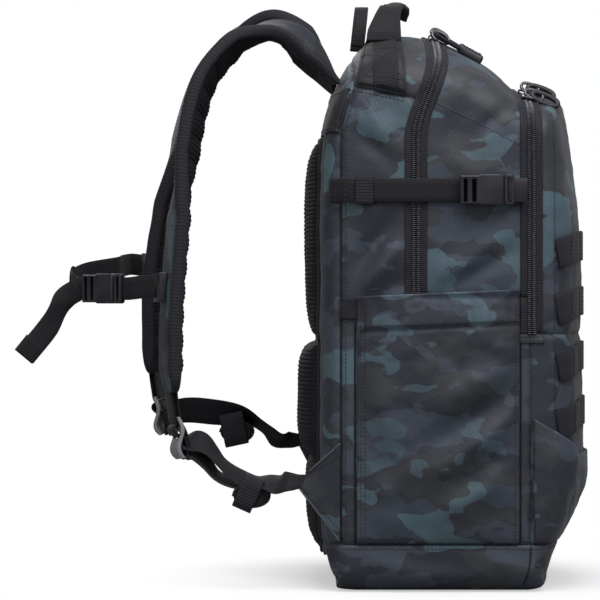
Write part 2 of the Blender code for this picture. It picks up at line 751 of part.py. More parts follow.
def buckle_female(name):
    """Socket half, local X towards the plug: two-slot ladder, then a housing with side windows."""
    half = 0.5 * BUCKLE_WIDTH
    neck = half - 0.001
    length = LADDER_LENGTH + HOUSING_LENGTH
    outline = [(0.0, -neck), (LADDER_LENGTH, -neck), (LADDER_LENGTH + 0.002, -half),
               (length - 0.0025, -half),
               (length, -half + 0.0018)]
    outline += [(x, -y) for x, y in reversed(outline)]
    item = plate(name, outline, BUCKLE_THICKNESS, 0.0008)
    slot = 0.5 * WEBBING + 0.0004
    deep = BUCKLE_THICKNESS
    for low, high in ((0.0026, 0.0060), (0.0098, 0.0136)):
        combine(item, block("slot", (low, -slot, -deep), (high, slot, deep)), "DIFFERENCE")
    reach = length - PRONG_LENGTH - RUN_GAP
    room = 0.5 * PRONG_THICKNESS + RUN_GAP
    inside = half - 0.0024
    combine(item, block("cavity", (reach, -inside, -room), (length + 0.01, inside, room)), "DIFFERENCE")
    for side in (-1, 1):
        low, high = sorted((side * (inside - 0.001), side * (half + 0.004)))
        window = block("window", (reach + 0.0015, low, -room), (length - 0.0055, high, room))
        combine(item, window, "DIFFERENCE")
    return item


def buckle_male(name, tab):
    """Plug half in the same frame as the socket: fork, slotted bar and, where sewn on, its webbing tab."""
    half = 0.5 * BUCKLE_WIDTH
    length = LADDER_LENGTH + HOUSING_LENGTH
    face = length + SEAT_GAP
    tip = length - PRONG_LENGTH
    wide = half - 0.0024 - RUN_GAP
    root = face + 0.002
    prong = [(root, -wide + 0.0012), (face - 0.004, -wide + 0.0012), (face - 0.0052, -wide),
             (tip + 0.004, -wide),
             (tip, -wide + 0.0034), (tip, -wide + 0.0048), (tip + 0.004, -wide + 0.0030),
             (face - 0.004, -wide + 0.0050), (face, -wide + 0.0056), (face, -0.0014), (tip + 0.005, -0.0014),
             (tip + 0.0036, 0.0)]
    outline = prong + [(x, -y) for x, y in reversed(prong[:-1])]
    item = plate(name, outline, PRONG_THICKNESS)
    rim = half - 0.0014
    bar = [(face, -rim), (face + 0.002, -half), (face + MALE_LENGTH - 0.002, -half),
           (face + MALE_LENGTH, -rim)]
    bar += [(x, -y) for x, y in reversed(bar)]
    body = plate(name + "_bar", bar, BUCKLE_THICKNESS - 0.0018, 0.0008)
    combine(item, body, "UNION")
    slot = 0.5 * WEBBING + 0.0004
    low, high = face + 0.0034, face + 0.0062
    combine(item, block("slot", (low, -slot, -0.01), (high, slot, 0.01)), "DIFFERENCE")
    if tab:
        start = high - 0.0012
        strip = block(name + "_tab", (low + 0.0006, -0.5 * WEBBING, -0.0040),
                      (start + TAB_LENGTH, 0.5 * WEBBING, -0.0040 + 2 * WEBBING_THICKNESS))
        wrap = block(name + "_wrap", (low + 0.0006, -0.5 * WEBBING, -0.0040),
                     (high + 0.0008, 0.5 * WEBBING, 0.0012))
        combine(strip, wrap, "UNION")
        combine(item, strip, "UNION")
    return item


def make_compression():
    """Compression straps over the lid gusset: webbing, sliding elastic keeper and side release buckle."""
    standing = BODY_HALF_WIDTH + SIDE_CROWN + STRAP_STANDOFF
    pieces = {}
    males = []
    for tag, side in (("left", -1), ("right", 1)):
        front = BUCKLE_BACK_X + LADDER_LENGTH - 0.002
        sewn = BACK_X + STRAP_INSET
        bend = BACK_SEAM_X + 0.006

        def centre(v, front=front, bend=bend, sewn=sewn):
            share = (0.5 * (v + 1)) ** 1.6
            x = sewn + (front - sewn) * share
            low = abs(skin_y(x, STRAP_Z, -1)) + CURVED_GAP + 0.5 * WEBBING_THICKNESS
            ease = max(0.0, (bend - x) / (bend - sewn))
            return x, max(low, standing + (low - standing) * ease)

        def face(u, v, sign, side=side, centre=centre):
            x, lift = centre(v)
            return Vector((x, side * (lift + sign * 0.5 * WEBBING_THICKNESS), STRAP_Z + 0.5 * WEBBING * u))

        webbing = slab(f"compression_webbing_{tag}", 1, 14, lambda u, v, f=face: f(u, v, 1),
                       lambda u, v, f=face: f(u, v, -1))
        paint(webbing, "webbing")
        inside = 0.5 * WEBBING_THICKNESS + SEAT_GAP
        tall = 0.5 * WEBBING + SEAT_GAP
        keeper = block(f"keeper_{tag}", (-0.5 * KEEPER_LENGTH, -inside - KEEPER_WALL, -tall - KEEPER_WALL),
                       (0.5 * KEEPER_LENGTH, inside + KEEPER_WALL, tall + KEEPER_WALL))
        combine(keeper, block("hole", (-1, -inside, -tall), (1, inside, tall)), "DIFFERENCE")
        keeper.location = (KEEPER_X, side * standing, STRAP_Z)
        paint(keeper, "webbing")
        out = Vector((0.0, side, 0.0))
        seat = standing + 0.5 * WEBBING_THICKNESS + SEAT_GAP + 0.5 * BUCKLE_THICKNESS
        female = buckle_female(f"compression_buckle_female_{tag}")
        female.matrix_world = frame_at((BUCKLE_BACK_X, side * seat, STRAP_Z), (1, 0, 0), out)
        male = buckle_male(f"compression_buckle_male_{tag}", True)
        male.matrix_world = frame_at((BUCKLE_BACK_X, side * seat, STRAP_Z), (1, 0, 0), out)
        for item in (female, male):
            paint(item, "black_plastic")
        pieces[tag] = (keeper, female)
        males.append(male)
    return pieces, males


def zip_slider(name):
    """Slider body straddling the coil, local X along the zip, with a bridge for the pull on top."""
    inner = COIL_WIDTH + CHANNEL_GAP
    top = COIL_HEIGHT + RUN_GAP
    section = [(-SLIDER_HALF_WIDTH, RUN_GAP), (-inner, RUN_GAP), (-inner, top), (inner, top),
               (inner, RUN_GAP),
               (SLIDER_HALF_WIDTH, RUN_GAP), (SLIDER_HALF_WIDTH, top + 0.6 * SLIDER_TOP),
               (SLIDER_HALF_WIDTH - 0.0012, top + SLIDER_TOP),
               (-SLIDER_HALF_WIDTH + 0.0012, top + SLIDER_TOP),
               (-SLIDER_HALF_WIDTH, top + 0.6 * SLIDER_TOP)]
    item = prism(name, section, -0.5 * SLIDER_LENGTH, 0.5 * SLIDER_LENGTH)
    deck = top + SLIDER_TOP
    reach = 2 * PULL_BAR + 2 * RUN_GAP
    arch = [(-0.5 * reach - 0.0012, deck - 0.0004), (-0.5 * reach - 0.0012, deck + BRIDGE_RISE - 0.001),
            (-0.5 * reach, deck + BRIDGE_RISE), (0.5 * reach, deck + BRIDGE_RISE),
            (0.5 * reach + 0.0012, deck + BRIDGE_RISE - 0.001), (0.5 * reach + 0.0012, deck - 0.0004)]
    bridge = prism(name + "_bridge", arch, -0.0014, 0.0014)
    hole = block("hole", (-0.5 * reach, -0.01, deck - 0.0002),
                 (0.5 * reach, 0.01, deck + BRIDGE_RISE - 0.0011))
    combine(bridge, hole, "DIFFERENCE")
    combine(item, bridge, "UNION")
    paint(item, "zip_metal")
    return item, deck + BRIDGE_RISE - 0.0011 - PULL_BAR - RUN_GAP


def zip_pull(name, cord, grip):
    """Cord loop with a moulded grip; local X runs along the pull, the bar through the bridge lies on Y."""
    side = 0.5 * PULL_GRIP_WIDTH - PULL_BAR + 0.0003
    bend = 0.0014
    points = [(cord + 0.006, -0.6 * side, 0.0), (cord - 0.002, -side, 0.0), (0.002, -side, 0.0),
              (0.0, -side + bend, 0.0), (0.0, side - bend, 0.0), (0.002, side, 0.0),
              (cord - 0.002, side, 0.0),
              (cord + 0.006, 0.6 * side, 0.0)]
    item = tube(name, points, PULL_BAR)
    grip = rounded_block(name + "_grip", (cord, -0.5 * PULL_GRIP_WIDTH, -0.5 * PULL_GRIP_THICKNESS),
                         (cord + grip, 0.5 * PULL_GRIP_WIDTH, 0.5 * PULL_GRIP_THICKNESS), 0.0018)
    combine(item, grip, "UNION")
    paint(item, "black_plastic")
    return item


def surface_of(items):
    """Search tree over several meshes together."""
    bm = bmesh.new()
    for item in items:
        bm.from_mesh(item.data)
    tree = BVHTree.FromBMesh(bm)
    bm.free()
    return tree


def slider_seat(tape, origin, right, along, up):
    """Height above a point at which a slider's channel and flanges clear the zip under them."""
    inner = COIL_WIDTH + CHANNEL_GAP
    lift = 0.0
    for across in np.linspace(-SLIDER_HALF_WIDTH, SLIDER_HALF_WIDTH, 11):
        for run in (-0.5 * SLIDER_LENGTH, 0.0, 0.5 * SLIDER_LENGTH):
            start = origin + right * across + along * run + up * 0.03
            hit = tape.ray_cast(start, -up)[0]
            if hit is None:
                continue
            under = COIL_HEIGHT + RUN_GAP if abs(across) < inner else RUN_GAP
            lift = max(lift, (hit - origin).dot(up) - under + 0.5 * RUN_GAP)
    return lift


def pull_direction(axis, cord, grip):
    """Way a pull points when it lies forward on the body, hinged at an axis point."""
    rest = 0.5 * PULL_GRIP_THICKNESS + CURVED_GAP + PULL_FLOAT
    runs = (cord, cord + 0.5 * grip, cord + grip)
    falls = [(skin_z(axis.x + run, axis.y)[0] + rest - axis.z) / run for run in runs]
    return Vector((1.0, 0.0, max(falls))).normalized()


def make_sliders(zips):
    """Two sliders with pulls on each zip's top run, both left of the middle as they were closed."""
    runs = {
        "main": (MAIN_ZIP_TOP_X, MAIN_SLIDER_Y, MAIN_PULL_CORD, MAIN_PULL_GRIP,
                 surface_of([zips["main_zip_rear_tape"], zips["main_zip_lid_tape"]])),
        "front": (FRONT_ZIP_X, FRONT_SLIDER_Y, FRONT_PULL_CORD, FRONT_PULL_GRIP,
                  surface_of([zips["front_zip_lid_tape"], zips["front_zip_front_tape"]])),
    }
    placed = {}
    for zip_name, (x, places, cord, grip, tapes) in runs.items():
        crown = skin_z(x, 0.0)[0]
        radius = DOME_RADIUS * (BODY_HEIGHT - DOME_START) / (crown - DOME_START)
        reach = SLIDER_HALF_WIDTH
        tilt = (skin_z(x + reach, 0.0)[0] - skin_z(x - reach, 0.0)[0]) / (2 * reach)
        right = Vector((1.0, 0.0, tilt)).normalized()
        along = Vector((0.0, 1.0, 0.0))
        up = right.cross(along)
        upright = Matrix((right, along, up)).transposed().to_4x4()
        centre = Vector((x, 0.0, crown - radius))
        stand = Vector((0.0, 0.0, radius))
        for tag, y, travel in zip(("left", "right"), places, SLIDER_TRAVEL):
            lift = 0.0
            for stop in np.linspace(y, y + travel, 7):
                turn = Matrix.Rotation(-math.asin(stop / radius), 4, "X")
                seat = slider_seat(tapes, centre + turn @ stand, right, turn @ along, turn @ up)
                lift = max(lift, seat)
            turn = Matrix.Rotation(-math.asin(y / radius), 4, "X")
            slider, bar = zip_slider(f"{zip_name}_zip_slider_{tag}")
            origin = centre + turn @ (stand + Vector((0.0, 0.0, lift / up.z)))
            slider.matrix_world = Matrix.Translation(origin) @ turn @ upright
            axis = origin + turn @ (up * bar)
            ahead = pull_direction(axis, cord, grip)
            up_pull = ahead.cross(turn @ along).normalized()
            side = up_pull.cross(ahead)
            pull = zip_pull(f"{zip_name}_zip_pull_{tag}", cord, grip)
            turned = Matrix((ahead, side, up_pull)).transposed().to_4x4()
            pull.matrix_world = Matrix.Translation(axis) @ turned
            placed[f"{zip_name}_{tag}"] = (slider, pull, centre, axis, side)
    return placed


def make_top():
    """Haul handle between two sewn anchors, and the thin hang loop behind it."""
    crown = skin_z(HANDLE_X, 0.0)[0]
    foot_z = skin_z(HANDLE_X, HANDLE_FOOT_Y)[0] + SEAT_GAP + ANCHOR_THICKNESS + SEAT_GAP
    top_z = crown + HANDLE_RISE
    rest = 0.5 * HANDLE_THICKNESS
    half_run = [(-HANDLE_FOOT_Y, foot_z + rest), (-0.95 * HANDLE_FOOT_Y, foot_z + 0.30 * (top_z - foot_z)),
                (-0.72 * HANDLE_FOOT_Y, foot_z + 0.78 * (top_z - foot_z)),
                (-0.38 * HANDLE_FOOT_Y, top_z - 0.002)]
    run = half_run + [(0.0, top_z)] + [(-y, z) for y, z in reversed(half_run)]
    path = smooth_run(run, 3)
    last = len(path) - 1

    def handle_face(u, v, sign):
        k = int(round(0.5 * (v + 1) * last))
        before, after = path[max(k - 1, 0)], path[min(k + 1, last)]
        along = (after - before) / np.linalg.norm(after - before)
        grip = max(0.0, 1 - (path[k][0] / (0.62 * HANDLE_FOOT_Y)) ** 4)
        wide = 0.5 * (HANDLE_WIDTH + (HANDLE_GRIP_WIDTH - HANDLE_WIDTH) * grip)
        thick = rest * (1 + 0.6 * grip) * sign
        return Vector((HANDLE_X + wide * u, path[k][0] - along[1] * thick, path[k][1] + along[0] * thick))

    handle = slab("haul_handle", 2, last, lambda u, v: handle_face(u, v, 1),
                  lambda u, v: handle_face(u, v, -1))
    paint(handle, "webbing")
    for name, side in (("handle_anchor_left", -1), ("handle_anchor_right", 1)):
        start = HANDLE_FOOT_Y - 0.012

        def lower(u, v, side=side, start=start):
            y = side * (start + 0.5 * (v + 1) * ANCHOR_LENGTH)
            x = ANCHOR_X + 0.5 * ANCHOR_WIDTH * u
            return Vector((x, y, skin_z(x, y)[0] + CURVED_GAP))

        def upper(u, v, lower=lower):
            return lower(u, v) + Vector((0.0, 0.0, ANCHOR_THICKNESS))

        anchor = slab(name, 4, 6, upper, lower)
        paint(anchor, "webbing")
    arch = []
    for step in range(17):
        angle = math.pi * step / 16
        arch.append((-LOOP_HALF_SPAN * math.cos(angle), math.sin(angle) ** 0.7))

    def loop_face(u, v, sign):
        k = int(round(0.5 * (v + 1) * 16))
        y, share = arch[k]
        before, after = arch[max(k - 1, 0)], arch[min(k + 1, 16)]
        along = Vector((0.0, after[0] - before[0], LOOP_RISE * (after[1] - before[1]))).normalized()
        out = Vector((1.0, 0.0, 0.0)).cross(along) * (0.5 * LOOP_THICKNESS * sign)
        x = LOOP_X + 0.5 * LOOP_WIDTH * u + LOOP_LEAN * share
        edge = max(skin_z(LOOP_X - 0.5 * LOOP_WIDTH, LOOP_HALF_SPAN)[0],
                   skin_z(LOOP_X + 0.5 * LOOP_WIDTH, LOOP_HALF_SPAN)[0])
        return Vector((x, y, edge + SEAT_GAP + LOOP_RISE * share)) + out

    loop = slab("hang_loop", 1, 16, lambda u, v: loop_face(u, v, 1), lambda u, v: loop_face(u, v, -1))
    paint(loop, "webbing")
    return handle, Vector((HANDLE_X + 0.5 * HANDLE_WIDTH, 0.0, foot_z))


def strap_run(side):
    """Middle line of a shoulder strap from the yoke seam to its lower end, heights as shares of its fall."""
    start_x = skin_x(0.0, YOKE_SEAM_Z + 0.001, False) - 0.5 * STRAP_END_THICKNESS
    start_x += STRAP_SEAM_SET - CURVED_GAP
    line = [(start_x, 0.045, 1.0000), (-0.103, 0.048, 1.0785), (-0.119, 0.053, 1.1263),
            (-0.140, 0.060, 1.1502), (-0.162, 0.067, 1.1331), (-0.182, 0.074, 1.0887),
            (-0.200, 0.081, 1.0102), (-0.210, 0.087, 0.9113), (-0.217, 0.092, 0.7782),
            (-0.223, 0.096, 0.6314), (-0.227, 0.099, 0.4812), (-0.230, 0.102, 0.3345),
            (-0.231, 0.105, 0.1980), (-0.230, 0.107, 0.0785), (-0.227, 0.108, 0.0000)]
    fall = YOKE_SEAM_Z - STRAP_END_Z
    rows = []
    for k, (x, y, share) in enumerate(line):
        z = STRAP_END_Z + fall * share
        if side > 0:
            run = k / (len(line) - 1)
            lifted = min(1.0, max(0.0, (run - 0.07) / 0.18))
            lean = min(1.0, max(0.0, (run - 0.30) / 0.45))
            z += RIGHT_STRAP_LIFT * lifted * (1 - 0.4 * lean)
            x -= RIGHT_STRAP_LEAN * lean
        rows.append((x, side * y, z))
    return smooth_run(rows, 2)


def strap_frame(path, k, side):
    """Tangent, width direction and outward normal of a shoulder strap at one row."""
    last = len(path) - 1
    along = Vector(path[min(k + 1, last)] - path[max(k - 1, 0)]).normalized()
    across = Vector((0.0, 1.0, 0.0))
    across = (across - along * across.dot(along)).normalized()
    out = along.cross(across)
    if out.dot(Vector((-0.3, 0.0, 1.0))) < 0:
        out = -out
    roll = math.radians(STRAP_ROLL) * min(1.0, k / (STRAP_FLAT_SHARE * last))
    turn = Matrix.Rotation(roll, 3, along)
    tipped = turn @ out
    if tipped.y * side < 0:
        turn = Matrix.Rotation(-roll, 3, along)
        tipped = turn @ out
    return along, turn @ across, tipped


def make_straps():
    """Padded shoulder straps, their ladder locks, the lower webbing and the sewn wings it ends on."""
    placed = {}
    for tag, side in (("left", -1), ("right", 1)):
        path = strap_run(side)
        last = len(path) - 1

        def face(u, v, sign, path=path, last=last, side=side):
            k = int(round(0.5 * (v + 1) * last))
            share = k / last
            along, across, out = strap_frame(path, k, side)
            wide = 0.5 * (STRAP_WIDTH_TOP + (STRAP_WIDTH_LOW - STRAP_WIDTH_TOP) * share)
            near_end = min(1.0, share / 0.09, max(0.0, (0.95 - share) / 0.05))
            thick = STRAP_END_THICKNESS + (STRAP_THICKNESS - STRAP_END_THICKNESS) * near_end
            if share > 0.95:
                wide = 0.5 * STRAP_WEBBING
                thick = 2 * WEBBING_THICKNESS
            crown = 0.30 + 0.70 * math.sqrt(max(0.0, 1 - u ** 4))
            return Vector(path[k]) + across * (wide * u) + out * (0.5 * thick * crown * sign)

        strap = slab(f"shoulder_strap_{tag}", 4, last, lambda u, v, f=face: f(u, v, 1),
                     lambda u, v, f=face: f(u, v, -1))
        paint(strap, "camo_fabric")
        end = Vector(path[last])
        along, across, out = strap_frame(path, last, side)
        placed[tag] = (strap, path, end, along, across, out)
    return placed


def ladder_lock(name):
    """Curved tension lock: local X runs down the webbing, Z is its outer face, with two webbing slots."""
    steps = 10
    upper, lower = [], []
    for step in range(steps + 1):
        share = step / steps
        half = 0.5 * LOCK_THICKNESS * (0.6 if step in (0, steps) else 1.0)
        z = LOCK_CURL * math.sin(2 * math.pi * share) * (0.4 + 0.6 * share)
        upper.append((LOCK_LENGTH * share, z + half))
        lower.append((LOCK_LENGTH * share, z - half))
    item = prism(name, lower + upper[::-1], -0.5 * LOCK_WIDTH, 0.5 * LOCK_WIDTH)
    slot = 0.5 * STRAP_WEBBING + 0.0006
    for low, high in ((LOCK_BAR, LOCK_BAR + 0.0045), (LOCK_BAR + 0.0090, LOCK_BAR + 0.0145)):
        combine(item, block("slot", (low, -slot, -0.02), (high, slot, 0.02)), "DIFFERENCE")
    paint(item, "grey_plastic")
    return item


def ribbon(name, rows, width, thickness):
    """Flat webbing along (x, y, z, roll) rows; roll 0 lays its width along Y, 90 stands it upright."""
    path = smooth_run(rows, 3)
    last = len(path) - 1

    def face(u, v, sign):
        k = int(round(0.5 * (v + 1) * last))
        along = Vector(path[min(k + 1, last)][:3] - path[max(k - 1, 0)][:3]).normalized()
        across = Vector((0.0, 1.0, 0.0))
        across = (across - along * across.dot(along)).normalized()
        across = Matrix.Rotation(math.radians(path[k][3]), 3, along) @ across
        out = along.cross(across)
        return Vector(path[k][:3]) + across * (0.5 * width * u) + out * (0.5 * thickness * sign)

    item = slab(name, 1, last, lambda u, v: face(u, v, 1), lambda u, v: face(u, v, -1))
    paint(item, "webbing")
    return item


def tail_roll(name, centre, lean):
    """The spare webbing, wound up flat: an oval spiral with its loops apart."""
    steps = int(20 * ROLL_TURNS)

    def spiral(k):
        turn = ROLL_TURNS * k / steps
        angle = 2 * math.pi * turn
        grow = ROLL_PITCH * turn
        return Vector(((ROLL_CORE_LONG + grow) * math.cos(angle), 0.0,
                       (ROLL_CORE_SHORT + grow) * math.sin(angle)))

    places = [spiral(k) for k in range(steps + 1)]
    least = min((a - b).length for i, a in enumerate(places) for b in places[i + 12:])
    print(f"{name}: least gap between turns {1000 * (least - WEBBING_THICKNESS):.2f} mm")

    def face(u, v, sign):
        k = int(round(0.5 * (v + 1) * steps))
        along = (places[min(k + 1, steps)] - places[max(k - 1, 0)]).normalized()
        out = along.cross(Vector((0.0, 1.0, 0.0)))
        aside = Vector((0.0, 0.5 * STRAP_WEBBING * u, 0.0))
        return places[k] + out * (0.5 * WEBBING_THICKNESS * sign) + aside

    item = slab(name, 1, steps, lambda u, v: face(u, v, 1), lambda u, v: face(u, v, -1))
    item.location = centre
    item.rotation_euler = (math.radians(lean[0]), math.radians(lean[1]), math.radians(lean[2]))
    paint(item, "webbing")
    return item


def make_lower_harness(straps):
    """Ladder locks below the straps, and the webbing that joins them to wings in the lower back seam."""
    locks = {}
    routes = {
        "left": [(-0.214, 0.112, 0.107, 0), (-0.200, 0.116, 0.106, 0), (-0.184, 0.121, 0.098, 0),
                 (-0.160, 0.128, 0.0925, 0), (-0.146, 0.133, 0.0925, 0), (-0.138, 0.138, 0.0903, 40)],
        "right": [(-0.234, 0.111, 0.119, 0), (-0.222, 0.115, 0.126, 0), (-0.204, 0.119, 0.133, 0),
                  (-0.178, 0.125, 0.1355, 0), (-0.160, 0.130, 0.1345, 0), (-0.148, 0.134, 0.1245, 8),
                  (-0.139, 0.139, 0.1140, 42)],
    }
    for tag, side in (("left", -1), ("right", 1)):
        strap, path, end, along, across, out = straps[tag]
        lock = ladder_lock(f"ladder_lock_{tag}")
        start = end + along * SEAT_GAP
        turned = Matrix((along, across, along.cross(across))).transposed().to_4x4()
        lock.matrix_world = Matrix.Translation(start) @ turned
        locks[tag] = (lock, start + along * (0.5 * LOCK_BAR), across)

        def wing_place(u, share, side=side):
            low = WING_LOW + (WING_APEX_Z - 0.5 * STRAP_WEBBING - WING_LOW) * share
            high = WING_HIGH + (WING_APEX_Z + 0.5 * STRAP_WEBBING - WING_HIGH) * share
            z = low + (high - low) * 0.5 * (u + 1) + (RIGHT_WING_RISE if side > 0 else 0.0)
            foot = BACK_SEAM_X + 0.004
            x = foot + (WING_APEX_X - foot) * share
            y = abs(skin_y(foot, z, side)) + CURVED_GAP + 0.5 * WING_THICKNESS - 0.003 * share
            return Vector((x, side * y, z))

        def wing_face(u, v, sign, side=side, wing_place=wing_place):
            return wing_place(u, 0.5 * (v + 1)) + Vector((0.0, side * 0.5 * sign * WING_THICKNESS, 0.0))

        wing = slab(f"strap_wing_{tag}", 4, 3, lambda u, v, f=wing_face: f(u, v, 1),
                    lambda u, v, f=wing_face: f(u, v, -1))
        paint(wing, "camo_fabric")
        apex = wing_place(0.0, 1.0)
        foot = start + along * (LOCK_LENGTH + SEAT_GAP + WEBBING_THICKNESS)
        rows = [(*foot, 0.0)]
        rows += [(x, side * y, z, -side * roll) for x, y, z, roll in routes[tag]]
        for short, roll in ((0.013, 78.0), (0.005, 90.0), (0.0, 90.0)):
            rows.append((apex.x - SEAT_GAP - short, apex.y, apex.z, -side * roll))
        ribbon(f"lower_webbing_{tag}", rows, STRAP_WEBBING, WEBBING_THICKNESS)
        x, y, z, roll = routes[tag][3]
        reach = ROLL_CORE_SHORT + ROLL_PITCH * (ROLL_TURNS - 0.25)
        drop = reach + WEBBING_THICKNESS + RUN_GAP
        tail_roll(f"tail_roll_{tag}", (x, side * y, z - drop), (0.0, 0.0, 0.0))
    return locks


def strap_place(straps, tag, z):
    """Point on the outer face of a shoulder strap at a height, with the strap's directions there."""
    strap, path, end, along, across, out = straps[tag]
    side = -1 if tag == "left" else 1
    k = min(range(4, len(path) - 3), key=lambda row: abs(path[row][2] - z))
    along, across, out = strap_frame(path, k, side)
    point = Vector(path[k])
    point += along * ((z - point.z) / along.z)
    return point + out * (0.5 * STRAP_THICKNESS), along, across, out


def make_sternum(straps):
    """Chest strap: a clip on each shoulder strap, webbing that bows out in front, and its buckle."""
    clips = {}
    leaving = {}
    turning = {}
    sliders = []
    for tag, z in (("left", STERNUM_Z), ("right", STERNUM_Z + STERNUM_RISE)):
        place, along, across, out = strap_place(straps, tag, z)
        clip = block(f"sternum_slider_{tag}", (-0.5 * CLIP_HEIGHT, -0.5 * CLIP_WIDTH, 0.0),
                     (0.5 * CLIP_HEIGHT, 0.5 * CLIP_WIDTH, CLIP_THICKNESS))
        slot = 0.5 * WEBBING + 0.0006
        combine(clip, block("slot", (-slot, -0.0016, -0.01), (slot, 0.0016, 0.02)), "DIFFERENCE")
        clip.matrix_world = Matrix.Translation(place + out * CURVED_GAP) @ Matrix(
            (along, across, along.cross(across))).transposed().to_4x4()
        if (along.cross(across)).dot(out) < 0:
            clip.matrix_world = Matrix.Translation(place + out * CURVED_GAP) @ Matrix(
                (-along, across, -along.cross(across))).transposed().to_4x4()
        paint(clip, "black_plastic")
        lean = 0.5 * WEBBING * abs(out.z) + 0.5 * WEBBING_THICKNESS
        clips[tag] = place + out * (CURVED_GAP + CLIP_THICKNESS + SEAT_GAP + lean)
        leaving[tag] = clips[tag] + out * CLIP_LEAD
        turning[tag] = leaving[tag] + out * (0.5 * CLIP_LEAD)
        sliders.append(clip)
    ahead = Vector((math.cos(math.radians(STERNUM_TURN)), -math.sin(math.radians(STERNUM_TURN)), 0.0))
    up = Vector((0.0, 0.0, 1.0)).cross(ahead)
    if up.x > 0:
        up = -up
    length = LADDER_LENGTH + HOUSING_LENGTH + SEAT_GAP + MALE_LENGTH
    rear = Vector((STERNUM_BUCKLE_X, STERNUM_BUCKLE_Y, STERNUM_Z))
    frame = frame_at(rear, ahead, up)
    female = buckle_female("sternum_buckle_female")
    male = buckle_male("sternum_buckle_male", False)
    for item in (female, male):
        item.matrix_world = frame
        paint(item, "black_plastic")
    start = clips["left"]
    finish = rear + ahead * (length + SEAT_GAP)
    before = finish + ahead * 0.007
    middle = 0.5 * (start + before) + up * 0.002
    rows = [(*start, 90.0), (*middle, 90.0), (*before, 90.0), (*finish, 90.0)]
    near = ribbon("sternum_webbing_left", rows, WEBBING, WEBBING_THICKNESS)
    under = -up * (0.5 * BUCKLE_THICKNESS + SEAT_GAP + 0.5 * WEBBING_THICKNESS)
    inner = rear + ahead * (LADDER_LENGTH - 0.002) + under
    exit_point = rear - ahead * 0.008 + under
    far = clips["right"]
    across = Vector((0.5 * (far.x + STERNUM_BUCKLE_X) + 0.002, 0.5 * (far.y + STERNUM_BUCKLE_Y) + 0.022,
                     far.z - 0.003))
    bend = turning["right"] + 0.14 * (across - turning["right"])
    rows = [(*inner, 90.0), (*(rear + ahead * 0.004 + under), 90.0), (*exit_point, 90.0),
            (*(exit_point - ahead * 0.009 + Vector((0.001, 0.004, 0.001))), 90.0),
            (STERNUM_BUCKLE_X - 0.014, STERNUM_BUCKLE_Y + 0.036, STERNUM_Z + 0.007, 90.0),
            (STERNUM_BUCKLE_X - 0.003, STERNUM_BUCKLE_Y + 0.066, STERNUM_Z + 0.014, 90.0),
            (*across, 90.0), (*(0.5 * (across + bend) + Vector((-0.002, 0.0, 0.0))), 90.0), (*bend, 90.0),
            (*leaving["right"], 90.0), (*far, 90.0)]
    webbing = ribbon("sternum_webbing_right", rows, WEBBING, WEBBING_THICKNESS)
    tip = rear + Vector((-0.053, -0.004, -0.060))
    root = exit_point - ahead * 0.004
    rows = [(*root, 90.0), (*(root + Vector((-0.014, 0.0, -0.010))), 90.0),
            (*(0.45 * root + 0.55 * tip), 90.0), (*tip, 90.0)]
    tail = ribbon("sternum_tail", rows, WEBBING, WEBBING_THICKNESS)
    combine(webbing, tail, "UNION")
    return sliders, [female, near, webbing], male, rear


PARTS = None
SKIN = None
HOLLOW = None


def main():
    """Build every piece."""
    global PARTS, SKIN, HOLLOW
    clear_scene()
    PARTS = make_collection(OBJECT_NAME)
    SKIN = felt("form", 0.0)
    HOLLOW = felt("hollow", -WALL)
    panels = make_shells()
    dividers = make_dividers()
    zips = make_zips()
    make_back()
    make_pockets()
    strips = make_molle()
    compression, males = make_compression()
    sliders = make_sliders(zips)
    handle, handle_foot = make_top()
    straps = make_straps()
    locks = make_lower_harness(straps)
    clips, chest_pieces, chest_plug, chest_rear = make_sternum(straps)

    fold = Vector((FRONT_X + FOLD_OUT, 0.0, FOLD_Z))
    lid_pieces = [panels["lid_gusset"], dividers["lid_divider"], zips["main_zip_lid_tape"],
                  zips["front_zip_lid_tape"]]
    main_lid = hang_on(lid_pieces + males, "main_lid", fold)
    front_lid = [panels["front_lid_panel"], zips["front_zip_front_tape"]]
    hang_on(front_lid + strips, "front_lid", fold, main_lid)
    for key, (slider, pull, centre, axis, side) in sliders.items():
        carrier = main_lid if key.startswith("front") else None
        runner = hang_on([slider], f"{key}_slider", centre, carrier)
        hang_on([pull], f"{key}_pull", axis, runner)
    for tag, (keeper, female) in compression.items():
        hang_on([keeper], f"keeper_{tag}", keeper.location)
        hang_on([female], f"compression_{tag}", female.matrix_world.translation)
    hang_on([handle], "haul_handle", handle_foot)
    seam = Vector(straps["left"][1][0])
    harness = hang_on([straps[tag][0] for tag in straps], "harness", (seam.x, 0.0, seam.z))
    for tag, (lock, pivot, across) in locks.items():
        hang_on([lock], f"ladder_lock_{tag}", pivot, harness)
    chest = hang_on(clips + chest_pieces, "sternum", chest_rear, harness)
    hang_on([chest_plug], "sternum_plug", chest_rear, chest)


main()
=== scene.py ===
"""Looks of a tackle backpack: camouflage cloth panels, zips, webbing and a padded harness.

Metres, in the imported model's frame: +X is the front of the pack, -Y the wearer's left, +Z up.
"""
import logging
import math
from dataclasses import dataclass, field
from enum import Enum
from typing import Any, Callable, Sequence

import bmesh
import bpy
import numpy as np
from mathutils import Matrix, Vector, kdtree, noise
from mathutils.bvhtree import BVHTree


